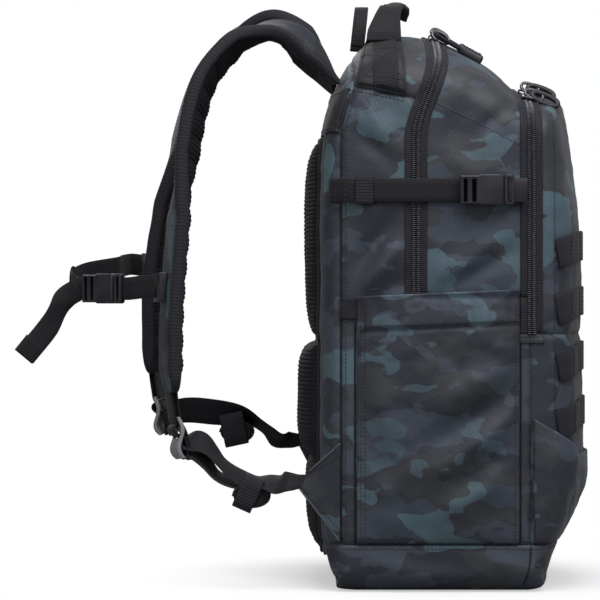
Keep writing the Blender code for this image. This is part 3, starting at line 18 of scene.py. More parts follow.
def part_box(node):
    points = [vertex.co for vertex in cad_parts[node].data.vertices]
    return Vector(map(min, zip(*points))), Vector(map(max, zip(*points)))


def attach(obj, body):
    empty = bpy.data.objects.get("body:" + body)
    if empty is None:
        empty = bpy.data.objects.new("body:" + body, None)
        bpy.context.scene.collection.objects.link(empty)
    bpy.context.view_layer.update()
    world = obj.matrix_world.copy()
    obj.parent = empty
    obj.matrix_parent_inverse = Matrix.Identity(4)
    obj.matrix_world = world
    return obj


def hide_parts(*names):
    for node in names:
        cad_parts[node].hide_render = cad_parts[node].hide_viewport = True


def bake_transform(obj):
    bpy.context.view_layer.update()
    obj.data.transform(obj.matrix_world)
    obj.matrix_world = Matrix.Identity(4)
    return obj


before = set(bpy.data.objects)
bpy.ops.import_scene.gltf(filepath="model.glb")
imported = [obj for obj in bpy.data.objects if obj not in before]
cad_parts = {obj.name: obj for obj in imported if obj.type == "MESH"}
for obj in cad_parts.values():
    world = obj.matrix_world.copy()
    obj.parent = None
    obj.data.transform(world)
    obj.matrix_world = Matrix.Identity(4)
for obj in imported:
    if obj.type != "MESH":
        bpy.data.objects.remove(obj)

LOG = logging.getLogger("tackle_backpack")
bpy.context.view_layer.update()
SIDES = ((-1, "left"), (1, "right"))
Array = np.ndarray
Mesh = bpy.types.Object
Material = bpy.types.Material
Tree = bpy.types.NodeTree
Pair = tuple[float, float]
Triple = tuple[float, float, float]
Run = tuple[Array, Array]      # places along a line and the directions away from the cloth there
MERGE = 1e-5                   # points of a solid's loose triangles closer than this are one
UP, ACROSS, AHEAD = np.array([0.0, 0.0, 1.0]), np.array([0.0, 1.0, 0.0]), np.array([1.0, 0.0, 0.0])


class Body(str, Enum):
    """Moving bodies of the frame that carry more than one piece."""

    PACK = "pack"
    MAIN_LID = "main_lid"
    FRONT_LID = "front_lid"
    HANDLE = "haul_handle"
    HARNESS = "harness"
    CHEST = "chest_strap"
    PLUG = "chest_plug"


class Slot(str, Enum):
    """Material slots of the record."""

    CAMO = "camouflage_cloth"
    WEBBING = "black_webbing"
    MESH = "back_mesh"
    LINING = "lining_cloth"
    PLASTIC = "black_plastic"
    GREY = "grey_plastic"
    METAL = "zip_metal"


def linear(code: str) -> tuple[float, ...]:
    """An sRGB hex colour as linear RGBA.

    Args:
        code: six hex digits.
    Returns:
        The colour for a shader socket.
    """
    parts = [int(code[k:k + 2], 16) / 255 for k in (0, 2, 4)]
    bright = [p / 12.92 if p <= 0.04045 else ((p + 0.055) / 1.055) ** 2.4 for p in parts]
    return (*bright, 1.0)


def add_node(tree: Tree, kind: str, links: dict[Any, Any] | None = None, **settings: Any) -> bpy.types.Node:
    """Add one node.

    Args:
        tree: the tree it goes into.
        kind: Blender's node type.
        links: for each input, a socket to link or a value to set.
        settings: properties of the node.
    Returns:
        The node.
    """
    made = tree.nodes.new(kind)
    for key, value in settings.items():
        setattr(made, key, value)
    for key, value in (links or {}).items():
        if isinstance(value, bpy.types.NodeSocket):
            tree.links.new(value, made.inputs[key])
        else:
            made.inputs[key].default_value = value
    return made


def blank_material(name: str, roughness: float, colour: str = "202024", metallic: float = 0.0,
                   specular: float = 0.5, sheen: float = 0.0) -> tuple[Material, Tree, bpy.types.Node]:
    """A node material with its Principled shader set.

    Args:
        name: the material's name.
        roughness: the shader's roughness.
        colour: sRGB hex.
        metallic: 1 for a bare metal.
        specular: the shader's specular level.
        sheen: the shader's sheen weight.
    Returns:
        The material, its tree and the shader.
    """
    material = bpy.data.materials.new(name)
    material.use_nodes = True
    tree = material.node_tree
    shader = tree.nodes["Principled BSDF"]
    for socket, value in (("Base Color", linear(colour)), ("Roughness", roughness), ("Metallic", metallic),
                          ("Specular IOR Level", specular), ("Sheen Weight", sheen)):
        shader.inputs[socket].default_value = value
    return material, tree, shader


def surface(tree: Tree, shader: bpy.types.Node, colour: Any, tone: Any, height: Any, strength: float,
            distance: float, share: float = 1.0) -> None:
    """Shade a colour by a pattern, and press a pattern into the surface.

    Args:
        tree: the material's tree.
        shader: its Principled shader.
        colour: linear colour or socket.
        tone: the pattern that multiplies the colour.
        height: the pattern that is pressed in.
        strength: how strongly.
        distance: how deep, in metres.
        share: how much of the tone is used.
    """
    shade = add_node(tree, "ShaderNodeMix", {"Factor": share, 6: colour, 7: tone}, data_type="RGBA",
                     blend_type="MULTIPLY").outputs[2]
    bump = add_node(tree, "ShaderNodeBump", {"Height": height, "Strength": strength, "Distance": distance})
    tree.links.new(shade, shader.inputs["Base Color"])
    tree.links.new(bump.outputs[0], shader.inputs["Normal"])


def bands_per_metre(pitch_mm: float) -> float:
    """Scale of a wave texture whose bands lie a pitch apart."""
    return 500 / pitch_mm / math.pi


@dataclass(frozen=True)
class CamouflageCloth:
    """Coated polyester twill, printed: four tones in lobed patches, a faint sheen and a diagonal grain."""

    tag: str
    shift: Triple
    charcoal: str = "282b36"
    umber: str = "313339"
    slate: str = "373e4a"
    teal: str = "475d67"
    patch_mm: float = 47.0
    stretch: Triple = (0.66, 0.76, 1.1)
    sway: float = 0.044        # how far the patches' edges wander
    ragged: float = 0.014
    grain_mm: float = 1.9      # real twill lines are 0.4 mm apart; drawn coarser so that they show
    slant: float = 0.62        # the twill's slope, in radians
    fleck: float = 620.0       # flecks of the coating, about 1.6 mm
    sheen: float = 0.06
    shade: float = 1.0         # below 1, a painted shade: the print darkened where the panel lies turned away from the light
    roughness: float = 0.6

    def material(self) -> Material:
        """The cloth as a material, its print moved by this panel's own shift."""
        name = f"coated_polyester_twill_{self.tag}"
        made, tree, shader = blank_material(name, self.roughness, specular=0.42, sheen=self.sheen)
        shader.inputs["Sheen Roughness"].default_value = 0.4
        place = add_node(tree, "ShaderNodeTexCoord").outputs["Object"]
        moved = add_node(tree, "ShaderNodeMapping", {"Vector": place, "Location": self.shift,
                                                     "Scale": self.stretch}).outputs[0]
        scale = 1000 / self.patch_mm
        wander = add_node(tree, "ShaderNodeTexNoise", {"Vector": moved, "Scale": 2.0 * scale, "Detail": 1.5})
        centred = add_node(tree, "ShaderNodeVectorMath", {0: wander.outputs["Color"], 1: (0.5, 0.5, 0.5)},
                           operation="SUBTRACT").outputs[0]
        sway = add_node(tree, "ShaderNodeVectorMath", {0: centred, 1: (self.sway,) * 3},
                        operation="MULTIPLY").outputs[0]
        warped = add_node(tree, "ShaderNodeVectorMath", {0: moved, 1: sway}, operation="ADD").outputs[0]
        fine = add_node(tree, "ShaderNodeTexNoise", {"Vector": place, "Scale": self.fleck,
                                                     "Detail": 1.0}).outputs["Fac"]
        broad = add_node(tree, "ShaderNodeTexNoise", {"Vector": moved, "Scale": 0.5 * scale,
                                                      "Detail": 1.0}).outputs["Fac"]
        faded = add_node(tree, "ShaderNodeMapRange", {"Value": broad, "From Min": 0.38, "From Max": 0.62,
                                                      "To Min": 0.5}).outputs[0]
        colour: Any = linear(self.charcoal)
        for size, away, level, tone in (
                (1.0, (0.0, 0.0, 0.0), 0.5, self.umber), (1.15, (3.1, 1.7, 2.3), 0.53, self.slate),
                (0.95, (7.7, 4.1, 5.9), 0.58, self.charcoal), (1.1, (1.3, 9.2, 6.1), 0.565, self.teal)):
            spot = add_node(tree, "ShaderNodeVectorMath", {0: warped, 1: away}, operation="ADD").outputs[0]
            print_ = add_node(tree, "ShaderNodeTexNoise", {"Vector": spot, "Scale": scale * size,
                                                           "Detail": 1.6, "Roughness": 0.44}).outputs["Fac"]
            torn = add_node(tree, "ShaderNodeMath", {0: fine, 1: self.ragged, 2: print_},
                            operation="MULTIPLY_ADD").outputs[0]
            part = add_node(tree, "ShaderNodeMapRange", {"Value": torn, "From Min": level + 0.003,
                                                         "From Max": level + 0.011}).outputs[0]
            if tone == self.teal:
                part = add_node(tree, "ShaderNodeMath", {0: part, 1: faded}, operation="MULTIPLY").outputs[0]
            colour = add_node(tree, "ShaderNodeMix", {"Factor": part, 6: colour, 7: linear(tone)},
                              data_type="RGBA").outputs[2]
        # Painted shade: self.shade scales the flecked tone, so below 1 it darkens the whole print.
        speck = add_node(tree, "ShaderNodeMapRange", {"Value": fine, "To Min": 0.74 * self.shade,
                                                      "To Max": 1.26 * self.shade}).outputs[0]
        slanted = add_node(tree, "ShaderNodeMapping", {"Vector": place, "Rotation": (0.0, self.slant, 0.0)})
        grain = add_node(tree, "ShaderNodeTexWave",
                         {"Vector": slanted.outputs[0], "Scale": bands_per_metre(self.grain_mm),
                          "Distortion": 0.6, "Detail": 1.0}, bands_direction="X")
        height = add_node(tree, "ShaderNodeMix", {"Factor": 0.7, 2: grain.outputs["Fac"], 3: fine}).outputs[0]
        surface(tree, shader, colour, speck, height, 0.22, 0.0006, share=0.8)
        return made


@dataclass(frozen=True)
class WovenBand:
    """Woven polyester band: cross ribs and lengthwise cords, read from the piece's own UV in metres."""

    name: str
    colour: str = "15151b"
    rib_mm: float = 1.1        # real picks are 0.9 mm apart; drawn coarser so that they show
    cord_mm: float = 1.9
    strength: float = 0.4
    roughness: float = 0.72

    def material(self) -> Material:
        """The band as a material."""
        made, tree, shader = blank_material(self.name, self.roughness, self.colour, specular=0.28, sheen=0.05)
        place = add_node(tree, "ShaderNodeUVMap", uv_map="UVMap").outputs[0]
        ribs = add_node(tree, "ShaderNodeTexWave", {"Vector": place, "Scale": bands_per_metre(self.rib_mm),
                                                    "Distortion": 0.3}, bands_direction="Y").outputs["Fac"]
        cords = add_node(tree, "ShaderNodeTexWave", {"Vector": place, "Scale": bands_per_metre(self.cord_mm)},
                         bands_direction="X").outputs["Fac"]
        both = add_node(tree, "ShaderNodeMix", {"Factor": 0.25, 2: ribs, 3: cords}).outputs[0]
        tone = add_node(tree, "ShaderNodeMapRange", {"Value": both, "To Min": 0.9, "To Max": 1.1}).outputs[0]
        surface(tree, shader, linear(self.colour), tone, both, self.strength, 0.0005)
        return made


@dataclass(frozen=True)
class SpacerMesh:
    """Knitted spacer mesh: matt black with small round holes in offset rows."""

    name: str = "knitted_spacer_mesh"
    colour: str = "17171d"
    hole_mm: float = 2.2

    def material(self) -> Material:
        """The mesh as a material."""
        made, tree, shader = blank_material(self.name, 0.85, self.colour, specular=0.25)
        place = add_node(tree, "ShaderNodeTexCoord").outputs["Object"]
        holes = add_node(tree, "ShaderNodeTexVoronoi", {"Vector": place, "Scale": 1000 / self.hole_mm,
                                                        "Randomness": 0.35}).outputs["Distance"]
        tone = add_node(tree, "ShaderNodeMapRange", {"Value": holes, "From Min": 0.15, "From Max": 0.5,
                                                     "To Min": 0.35, "To Max": 1.25}).outputs[0]
        surface(tree, shader, linear(self.colour), tone, holes, 0.6, 0.0008)
        return made


@dataclass(frozen=True)
class PlainFinish:
    """One colour with a fine grain in its tone and surface: plastic, metal, thread, plain cloth."""

    name: str
    colour: str
    roughness: float
    grain_mm: float = 0.8
    strength: float = 0.12
    metallic: float = 0.0
    spread: float = 0.12       # how far the tone wanders either way
    blotch: float = 90.0       # broad wear, about 11 mm

    def material(self) -> Material:
        """The finish as a material."""
        made, tree, shader = blank_material(self.name, self.roughness, self.colour, self.metallic)
        place = add_node(tree, "ShaderNodeTexCoord").outputs["Object"]
        grit, broad = (add_node(tree, "ShaderNodeTexNoise", {"Vector": place, "Scale": scale,
                                                             "Detail": 2.0}).outputs["Fac"]
                       for scale in (1000 / self.grain_mm, self.blotch))
        both = add_node(tree, "ShaderNodeMix", {"Factor": 0.4, 2: grit, 3: broad}).outputs[0]
        tone, rough = (add_node(tree, "ShaderNodeMapRange", {"Value": given, "From Min": 0.3, "From Max": 0.7,
                                                             "To Min": low, "To Max": high}).outputs[0]
                       for given, low, high in ((both, 1 - self.spread, 1 + self.spread),
                                                (broad, self.roughness - 0.05, self.roughness + 0.07)))
        tree.links.new(rough, shader.inputs["Roughness"])
        surface(tree, shader, linear(self.colour), tone, grit, self.strength, 0.0004)
        return made


class Palette:
    """Every finish of the pack, made once."""

    def __init__(self) -> None:
        """Make the shared materials; camouflage is made for each panel by its own method."""
        self.webbing = WovenBand("black_polyester_webbing").material()
        # Painted light: the front rows get a lighter, bluer copy of the black webbing, as those rows face the
        # lamps.
        self.front_webbing = WovenBand("front_webbing_painted_lighter", "1e1f28").material()
        self.tape = WovenBand("zip_tape_twill", "1d1d24", 1.2, 1.6, 0.35).material()
        self.elastic = WovenBand("knitted_elastic", "202027", 1.3, 1.3, 0.6, 0.8).material()
        self.binding = WovenBand("grosgrain_binding", "1c1c23", 1.5, 3.0, 0.4).material()
        self.mesh = SpacerMesh().material()
        self.lining = PlainFinish("polyester_lining", "26272d", 0.7).material()
        self.black_cloth = PlainFinish("black_nylon_cloth", "1b1b22", 0.68, 0.9, 0.35, spread=0.2).material()
        self.acetal = PlainFinish("moulded_black_acetal", "1e1e25", 0.36).material()
        self.grey_acetal = PlainFinish("moulded_grey_acetal", "77787c", 0.42, spread=0.06).material()
        self.coil = PlainFinish("nylon_coil", "484850", 0.22).material()
        self.zinc = PlainFinish("gunmetal_zinc", "5a5a60", 0.28, metallic=1.0).material()
        self.rubber = PlainFinish("moulded_rubber", "1e1e25", 0.5).material()
        self.thread = PlainFinish("bonded_nylon_thread", "24252c", 0.55).material()
        self.pale_thread = PlainFinish("grey_nylon_thread", "474d58", 0.55).material()
        # Pale grey cord: on the wings it edges the cloth; on the back's edges it is a painted highlight of
        # the rounded cloth.
        self.piping = PlainFinish("grey_cord_piping_and_highlight", "43474d", 0.6, 1.1, 0.4).material()
        self.seam = PlainFinish("black_seam_tape", "101013", 0.8).material()
        self.board = PlainFinish("polyethylene_board", "18181a", 0.5).material()
        self.camo: dict[str, Material] = {}

    def camouflage(self, tag: str, shift: Triple, **painted_shade_and_finish: float) -> Material:
        """The camouflage cloth of one panel.

        Args:
            tag: the panel.
            shift: where on the printed cloth the panel was cut.
            painted_shade_and_finish: painted shade that darkens the print, sheen or roughness, where they are
                not the usual ones.
        Returns:
            Its material.
        """
        # The shade among these keywords is a painted shade: it darkens the print's colour.
        if tag not in self.camo:
            self.camo[tag] = CamouflageCloth(tag, shift, **painted_shade_and_finish).material()
        return self.camo[tag]




def arc(points: Array) -> Array:
    """Distance run at each point of a line."""
    return np.concatenate([[0.0], np.cumsum(np.linalg.norm(np.diff(points, axis=0), axis=1))])


def unit(rows: Array) -> Array:
    """Rows scaled to length 1."""
    return rows / np.maximum(np.linalg.norm(rows, axis=-1, keepdims=True), 1e-12)


def tangents(points: Array) -> Array:
    """Unit directions along a line of points."""
    return unit(np.gradient(points, axis=0))


def rolled(line: Array, across: Array) -> Array:
    """Outward directions of a ribbon whose width always lies along one direction."""
    return unit(np.cross(across, tangents(line)))


def turned(vector: Any, axis: Any, degrees: float) -> Array:
    """A direction turned about an axis."""
    return np.array(Matrix.Rotation(math.radians(degrees), 3, Vector(axis)) @ Vector(vector))


def smooth_run(points: Any, steps: int, closed: bool = False) -> Array:
    """Catmull-Rom curve through points.

    Args:
        points: rows of numbers.
        steps: rows made for each span.
        closed: whether the last point runs on to the first.
    Returns:
        The curve's rows.
    """
    points = np.array(points, float)
    if closed:
        padded = np.vstack([points[-1], points, points[0], points[1]])
    else:
        padded = np.vstack([2 * points[0] - points[1], points, 2 * points[-1] - points[-2]])
    rows = []
    for span in range(len(padded) - 3):
        p0, p1, p2, p3 = padded[span:span + 4]
        for t in np.arange(steps) / steps:
            rows.append(0.5 * (2 * p1 + (p2 - p0) * t + (2 * p0 - 5 * p1 + 4 * p2 - p3) * t * t
                               + (3 * p1 - p0 - 3 * p2 + p3) * t ** 3))
    return np.array(rows if closed else rows + [points[-1]])


def columns_at(want: Array, given: Array, rows: Array) -> Array:
    """Every column of some rows, read off at wanted places."""
    return np.stack([np.interp(want, given, rows[:, k]) for k in range(rows.shape[1])], axis=-1)


def spaced(points: Any, step: float) -> Array:
    """Points at even distances along a line.

    Args:
        points: rows, of which the first three numbers are the place.
        step: wanted distance.
    Returns:
        New rows, the first and last kept.
    """
    points = np.array(points, float)
    run = arc(points[:, :3])
    count = max(2, int(round(run[-1] / step)) + 1)
    return columns_at(np.linspace(0, run[-1], count), run, points)


def looped(ring: Array, step: float) -> Array:
    """Points at even distances round a closed ring, the first one again at the end."""
    return spaced(np.vstack([ring, ring[:1]]), step)


def oval(middle: Any, one: Any, other: Any, count: int, powers: Pair = (1.0, 1.0)) -> Array:
    """Points round an oval.

    Args:
        middle: its centre.
        one: its first half axis.
        other: its second half axis.
        count: number of points.
        powers: below 1 they square the oval's ends, one for each axis.
    Returns:
        The points, once round.
    """
    angles = np.linspace(0, 2 * math.pi, count, endpoint=False)
    c, s = np.cos(angles), np.sin(angles)
    return (np.asarray(middle) + np.outer(np.sign(c) * np.abs(c) ** powers[0], one)
            + np.outer(np.sign(s) * np.abs(s) ** powers[1], other))


def hoops(rows: int, size: int, closed: bool = False, capped: bool = True) -> list[tuple[int, ...]]:
    """Faces between rings of points.

    Args:
        rows: number of rings.
        size: points in each ring.
        closed: whether the last ring runs on to the first.
        capped: whether open ends are closed.
    Returns:
        Vertex numbers of each face.
    """
    faces: list[tuple[int, ...]] = []
    for k in range(rows if closed else rows - 1):
        here, there = k * size, (k + 1) % rows * size
        faces += [(here + j, here + (j + 1) % size, there + (j + 1) % size, there + j) for j in range(size)]
    if capped and not closed:
        faces += [tuple(reversed(range(size))), tuple((rows - 1) * size + j for j in range(size))]
    return faces


def placed(name: str, data: bpy.types.ID) -> bpy.types.Object:
    """A new object at the origin, linked to the scene."""
    made = bpy.data.objects.new(name, data)
    bpy.context.scene.collection.objects.link(made)
    return made


def mesh_object(name: str, verts: Any, faces: Any, materials: Sequence[Material], uvs: Array | None = None,
                kinds: Any = None) -> Mesh:
    """A smooth-shaded object at the origin from arrays.

    Args:
        name: the object's name.
        verts: places.
        faces: vertex numbers of each face.
        materials: its finishes.
        uvs: a (u, v) for each vertex, in metres.
        kinds: material number of each face.
    Returns:
        The object.
    """
    mesh = bpy.data.meshes.new(name)
    mesh.from_pydata([tuple(v) for v in verts], [], [tuple(int(k) for k in f) for f in faces])
    for material in materials:
        mesh.materials.append(material)
    if kinds is not None:
        mesh.polygons.foreach_set("material_index", np.array(kinds, np.int32))
    if uvs is not None:
        layer = mesh.uv_layers.new(name="UVMap")
        corner = np.zeros(len(mesh.loops), np.int32)
        mesh.loops.foreach_get("vertex_index", corner)
        layer.data.foreach_set("uv", np.array(uvs, np.float32)[corner].ravel())
    mesh.polygons.foreach_set("use_smooth", np.ones(len(mesh.polygons), bool))
    mesh.validate()
    return placed(name, mesh)


def applied(item: Mesh) -> Mesh:
    """Turn an object's modifiers into its plain mesh."""
    bpy.context.view_layer.update()
    graph = bpy.context.evaluated_depsgraph_get()
    mesh = bpy.data.meshes.new_from_object(item.evaluated_get(graph))
    item.modifiers.clear()
    item.data = mesh
    return item


def from_bmesh(name: str, bm: bmesh.types.BMesh, materials: Sequence[Material]) -> Mesh:
    """An object with a BMesh's faces and these finishes; the BMesh is freed."""
    mesh = bpy.data.meshes.new(name)
    bm.to_mesh(mesh)
    bm.free()
    for material in materials:
        mesh.materials.append(material)
    return placed(name, mesh)


def merged(mesh: bpy.types.Mesh, distance: float) -> bmesh.types.BMesh:
    """A BMesh copy of a mesh with its doubled points merged."""
    bm = bmesh.new()
    bm.from_mesh(mesh)
    bmesh.ops.remove_doubles(bm, verts=bm.verts[:], dist=distance)
    return bm


def joined(name: str, items: Sequence[Mesh]) -> Mesh:
    """Join several objects into one, with their materials and UVs.

    Args:
        name: the new object's name.
        items: what goes into it; they are removed.
    Returns:
        The object.
    """
    bm = bmesh.new()
    materials: list[Material] = []
    for item in items:
        start = len(bm.faces)
        bm.from_mesh(item.data)
        bm.faces.ensure_lookup_table()
        materials += [one for one in item.data.materials if one not in materials]
        places = [materials.index(one) for one in item.data.materials]
        for face in bm.faces[start:]:
            face.material_index = places[face.material_index]
        bpy.data.objects.remove(item, do_unlink=True)
    return from_bmesh(name, bm, materials)


def facing_out(item: Mesh) -> Mesh:
    """Turn a closed mesh's faces outwards."""
    bm = bmesh.new()
    bm.from_mesh(item.data)
    bmesh.ops.recalc_face_normals(bm, faces=bm.faces[:])
    bm.to_mesh(item.data)
    bm.free()
    return item


def plain(body: str) -> str:
    """A body's name as the frame has it."""
    return str(body.value if isinstance(body, Enum) else body)


def tagged(item: Mesh, slot: Slot, *nodes: str) -> Mesh:
    """Hide the nodes that a piece stands for, and report it."""
    if nodes:
        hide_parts(*nodes)
    LOG.info("piece %s: %d faces", item.name, len(item.data.polygons))
    return item


def dress(item: Mesh, body: str, slot: Slot, *nodes: str) -> Mesh:
    """Let a finished piece ride on a body, and hide the frame's nodes it stands for.

    Args:
        item: the piece.
        body: the body it moves with.
        slot: its finish in the record.
        nodes: solids that it replaces.
    Returns:
        The piece.
    """
    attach(item, plain(body))
    return tagged(item, slot, *nodes)


def bent(item: Mesh, bodies: tuple[Body, Body], ends: tuple[Any, Any], slot: Slot, *nodes: str) -> Mesh:
    """Bake a finished piece's place into its mesh, and hide the nodes it stands for.

    Args:
        item: the piece.
        bodies: the bodies at its two ends; not used.
        ends: where it leaves the first and reaches the second; not used.
        slot: its finish in the record.
        nodes: solids that it replaces.
    Returns:
        The piece.
    """
    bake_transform(item)
    return tagged(item, slot, *nodes)


def swept(name: str, lines: Sequence[Array], uvs: Sequence[Array], material: Material, closed: bool) -> Mesh:
    """A closed skin over lines of points that run side by side round a piece.

    Args:
        name: the piece's name.
        lines: the lines, in order round it.
        uvs: rows of (u, v) for each line.
        material: its finish.
        closed: whether the lines run back into their start.
    Returns:
        The piece.
    """
    verts, flat = np.stack(lines, axis=1).reshape(-1, 3), np.stack(uvs, axis=1).reshape(-1, 2)
    return facing_out(mesh_object(name, verts, hoops(len(lines[0]), len(lines), closed), [material], flat))


HALF_SECTION = ((-1.0, 0.4), (-0.93, 1.0), (-0.45, 1.0), (0.0, 1.0), (0.45, 1.0), (0.93, 1.0), (1.0, 0.4))


def ribbon(name: str, centres: Any, outs: Any, width: Any, thickness: float, material: Material) -> Mesh:
    """Flat webbing with rounded edges along a line.

    Args:
        name: the piece's name.
        centres: middle of each row.
        outs: direction its face looks in, at each row or at all of them.
        width: one width, or one for each row.
        thickness: its thickness.
        material: its finish, which reads UV in metres.
    Returns:
        The piece.
    """
    centres = np.array(centres, float)
    along = tangents(centres)
    across = unit(np.cross(along, np.array(outs, float)))
    outs = np.cross(across, along)
    half = np.broadcast_to(np.array(width, float) / 2, (len(centres),))
    run = arc(centres)
    section = [*HALF_SECTION, *((u, -h) for u, h in reversed(HALF_SECTION))]
    lines = [centres + across * (half * u)[:, None] + outs * (0.5 * thickness * h) for u, h in section]
    return swept(name, lines, [np.stack([half * u, run], axis=1) for u, _ in section], material, False)


def tube(name: str, centres: Any, radius: float, material: Material, sides: int = 10,
         closed: bool = False) -> Mesh:
    """A round cord along a line.

    Args:
        name: the piece's name.
        centres: the line.
        radius: its radius.
        material: its finish.
        sides: faces round it.
        closed: whether it runs back into its start.
    Returns:
        The piece.
    """
    centres = np.array(centres, float)
    along = unit(np.roll(centres, -1, axis=0) - np.roll(centres, 1, axis=0)) if closed else tangents(centres)
    normal = np.cross(along[0], (0.31, 0.52, 0.79))
    normals = np.zeros_like(along)
    for k, row in enumerate(along):
        normal = unit(normal - row * normal.dot(row))
        normals[k] = normal
    sideways = np.cross(along, normals)
    run = arc(centres)
    angles = [2 * math.pi * j / sides for j in range(sides)]
    lines = [centres + (normals * math.cos(a) + sideways * math.sin(a)) * radius for a in angles]
    uvs = [np.stack([np.full(len(run), radius * a), run], axis=1) for a in angles]
    return swept(name, lines, uvs, material, closed)


def sheet_between(name: str, outer: Array, inner: Array, material: Material,
                  uv: Sequence[Array] | None = None) -> Mesh:
    """A closed sheet from a grid of outer points and a grid of inner points.

    Args:
        name: the piece's name.
        outer: rows x columns x 3, the face that shows.
        inner: the same grid on the hidden side.
        material: its finish.
        uv: the grids of u and v, in metres.
    Returns:
        The piece.
    """
    rows, cols = outer.shape[:2]
    size = rows * cols
    faces = []
    for a in (i * cols + j for i in range(rows - 1) for j in range(cols - 1)):
        cell = (a, a + 1, a + cols + 1, a + cols)
        faces += [cell, tuple(k + size for k in reversed(cell))]
    number = np.arange(size).reshape(rows, cols)
    border = [int(k) for k in around_edge(number)]
    faces += [(a, a + size, b + size, b) for a, b in zip(border, border[1:] + border[:1])]
    flat = None if uv is None else np.tile(np.stack([uv[0].ravel(), uv[1].ravel()], axis=1), (2, 1))
    return facing_out(mesh_object(name, np.vstack([outer.reshape(size, 3), inner.reshape(size, 3)]), faces,
                                  [material], flat))


def around_edge(grid: Array) -> Array:
    """The cells round a grid's edge, in order, each once."""
    return np.concatenate([grid[0], grid[1:, -1], grid[-1, ::-1][1:], grid[::-1, 0][1:-1]])


def moulded(node: str, name: str, radius: float, material: Material, body: str, slot: Slot) -> None:
    """Make a moulded or cast piece: a copy of a node's solid with its edges rounded.

    Args:
        node: the frame's node.
        name: the piece's name.
        radius: rounding in metres.
        material: its finish.
        body: the body it moves with.
        slot: its finish in the record.
    """
    bm = merged(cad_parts[node].data, MERGE)
    bmesh.ops.dissolve_limit(bm, angle_limit=math.radians(2.0), verts=bm.verts[:], edges=bm.edges[:])
    made = from_bmesh(name, bm, [material])
    rounding = made.modifiers.new("rounding", "BEVEL")
    rounding.width, rounding.segments = radius, 2
    rounding.limit_method, rounding.angle_limit = "ANGLE", math.radians(24)
    rounding.use_clamp_overlap = True
    applied(made)
    made.data.polygons.foreach_set("use_smooth", np.ones(len(made.data.polygons), bool))
    made.data.set_sharp_from_angle(angle=math.radians(38))
    dress(made, body, slot, node)


class LineTree:
    """Geometry Nodes that set one small rounded piece again and again along lines: stitches, coil turns."""

    def __init__(self) -> None:
        """Build the tree once: pitch, size and finish are its inputs."""
        tree = bpy.data.node_groups.new("pieces_along_a_line", "GeometryNodeTree")
        face = tree.interface
        for label, kind in (("Geometry", "NodeSocketGeometry"), ("Pitch", "NodeSocketFloat"),
                            ("Size", "NodeSocketVector"), ("Finish", "NodeSocketMaterial")):
            face.new_socket(label, in_out="INPUT", socket_type=kind)
        face.new_socket("Geometry", in_out="OUTPUT", socket_type="NodeSocketGeometry")
        given = add_node(tree, "NodeGroupInput").outputs
        line = add_node(tree, "GeometryNodeMeshToCurve", {"Mesh": given["Geometry"]})
        even = add_node(tree, "GeometryNodeResampleCurve",
                        {"Curve": line.outputs[0], "Length": given["Pitch"]}, mode="LENGTH")
        ahead = add_node(tree, "GeometryNodeInputTangent")
        rise = add_node(tree, "GeometryNodeInputNamedAttribute", {"Name": "rise"}, data_type="FLOAT_VECTOR")
        lying = add_node(tree, "FunctionNodeAlignRotationToVector", {"Vector": ahead.outputs[0]}, axis="X")
        upright = add_node(tree, "FunctionNodeAlignRotationToVector",
                           {"Rotation": lying.outputs[0], "Vector": rise.outputs[0]}, axis="Z",
                           pivot_axis="X")
        bead = add_node(tree, "GeometryNodeMeshUVSphere", {"Segments": 8, "Rings": 5, "Radius": 0.5})
        laid = add_node(tree, "GeometryNodeInstanceOnPoints",
                        {"Points": even.outputs[0], "Instance": bead.outputs[0],
                         "Rotation": upright.outputs[0], "Scale": given["Size"]})
        real = add_node(tree, "GeometryNodeRealizeInstances", {"Geometry": laid.outputs[0]})
        soft = add_node(tree, "GeometryNodeSetShadeSmooth", {"Geometry": real.outputs[0]})
        painted = add_node(tree, "GeometryNodeSetMaterial", {"Geometry": soft.outputs[0],
                                                             "Material": given["Finish"]})
        add_node(tree, "NodeGroupOutput", {"Geometry": painted.outputs[0]})
        self.tree = tree

    def along(self, name: str, lines: Sequence[Run], pitch: float, size: Triple,
              material: Material) -> Mesh:
        """Set pieces along lines.

        Args:
            name: the new object's name.
            lines: for each line, its points and the directions the pieces stand up in.
            pitch: distance from piece to piece.
            size: length along the line, width across it and height.
            material: their finish.
        Returns:
            A plain mesh object.
        """
        edges, start = [], 0
        for points, _ in lines:
            edges += [(start + k, start + k + 1) for k in range(len(points) - 1)]
            start += len(points)
        mesh = bpy.data.meshes.new(name)
        mesh.from_pydata([tuple(v) for points, _ in lines for v in points], edges, [])
        held = mesh.attributes.new("rise", "FLOAT_VECTOR", "POINT")
        held.data.foreach_set("vector", np.vstack([outs for _, outs in lines]).astype(np.float32).ravel())
        made = placed(name, mesh)
        run = made.modifiers.new("run", "NODES")
        run.node_group = self.tree
        values = {"Pitch": pitch, "Size": size, "Finish": material}
        for socket in self.tree.interface.items_tree:
            if socket.in_out == "INPUT" and socket.name in values:
                run[socket.identifier] = values[socket.name]
        applied(made)
        if "rise" in made.data.attributes:
            made.data.attributes.remove(made.data.attributes["rise"])
        return made


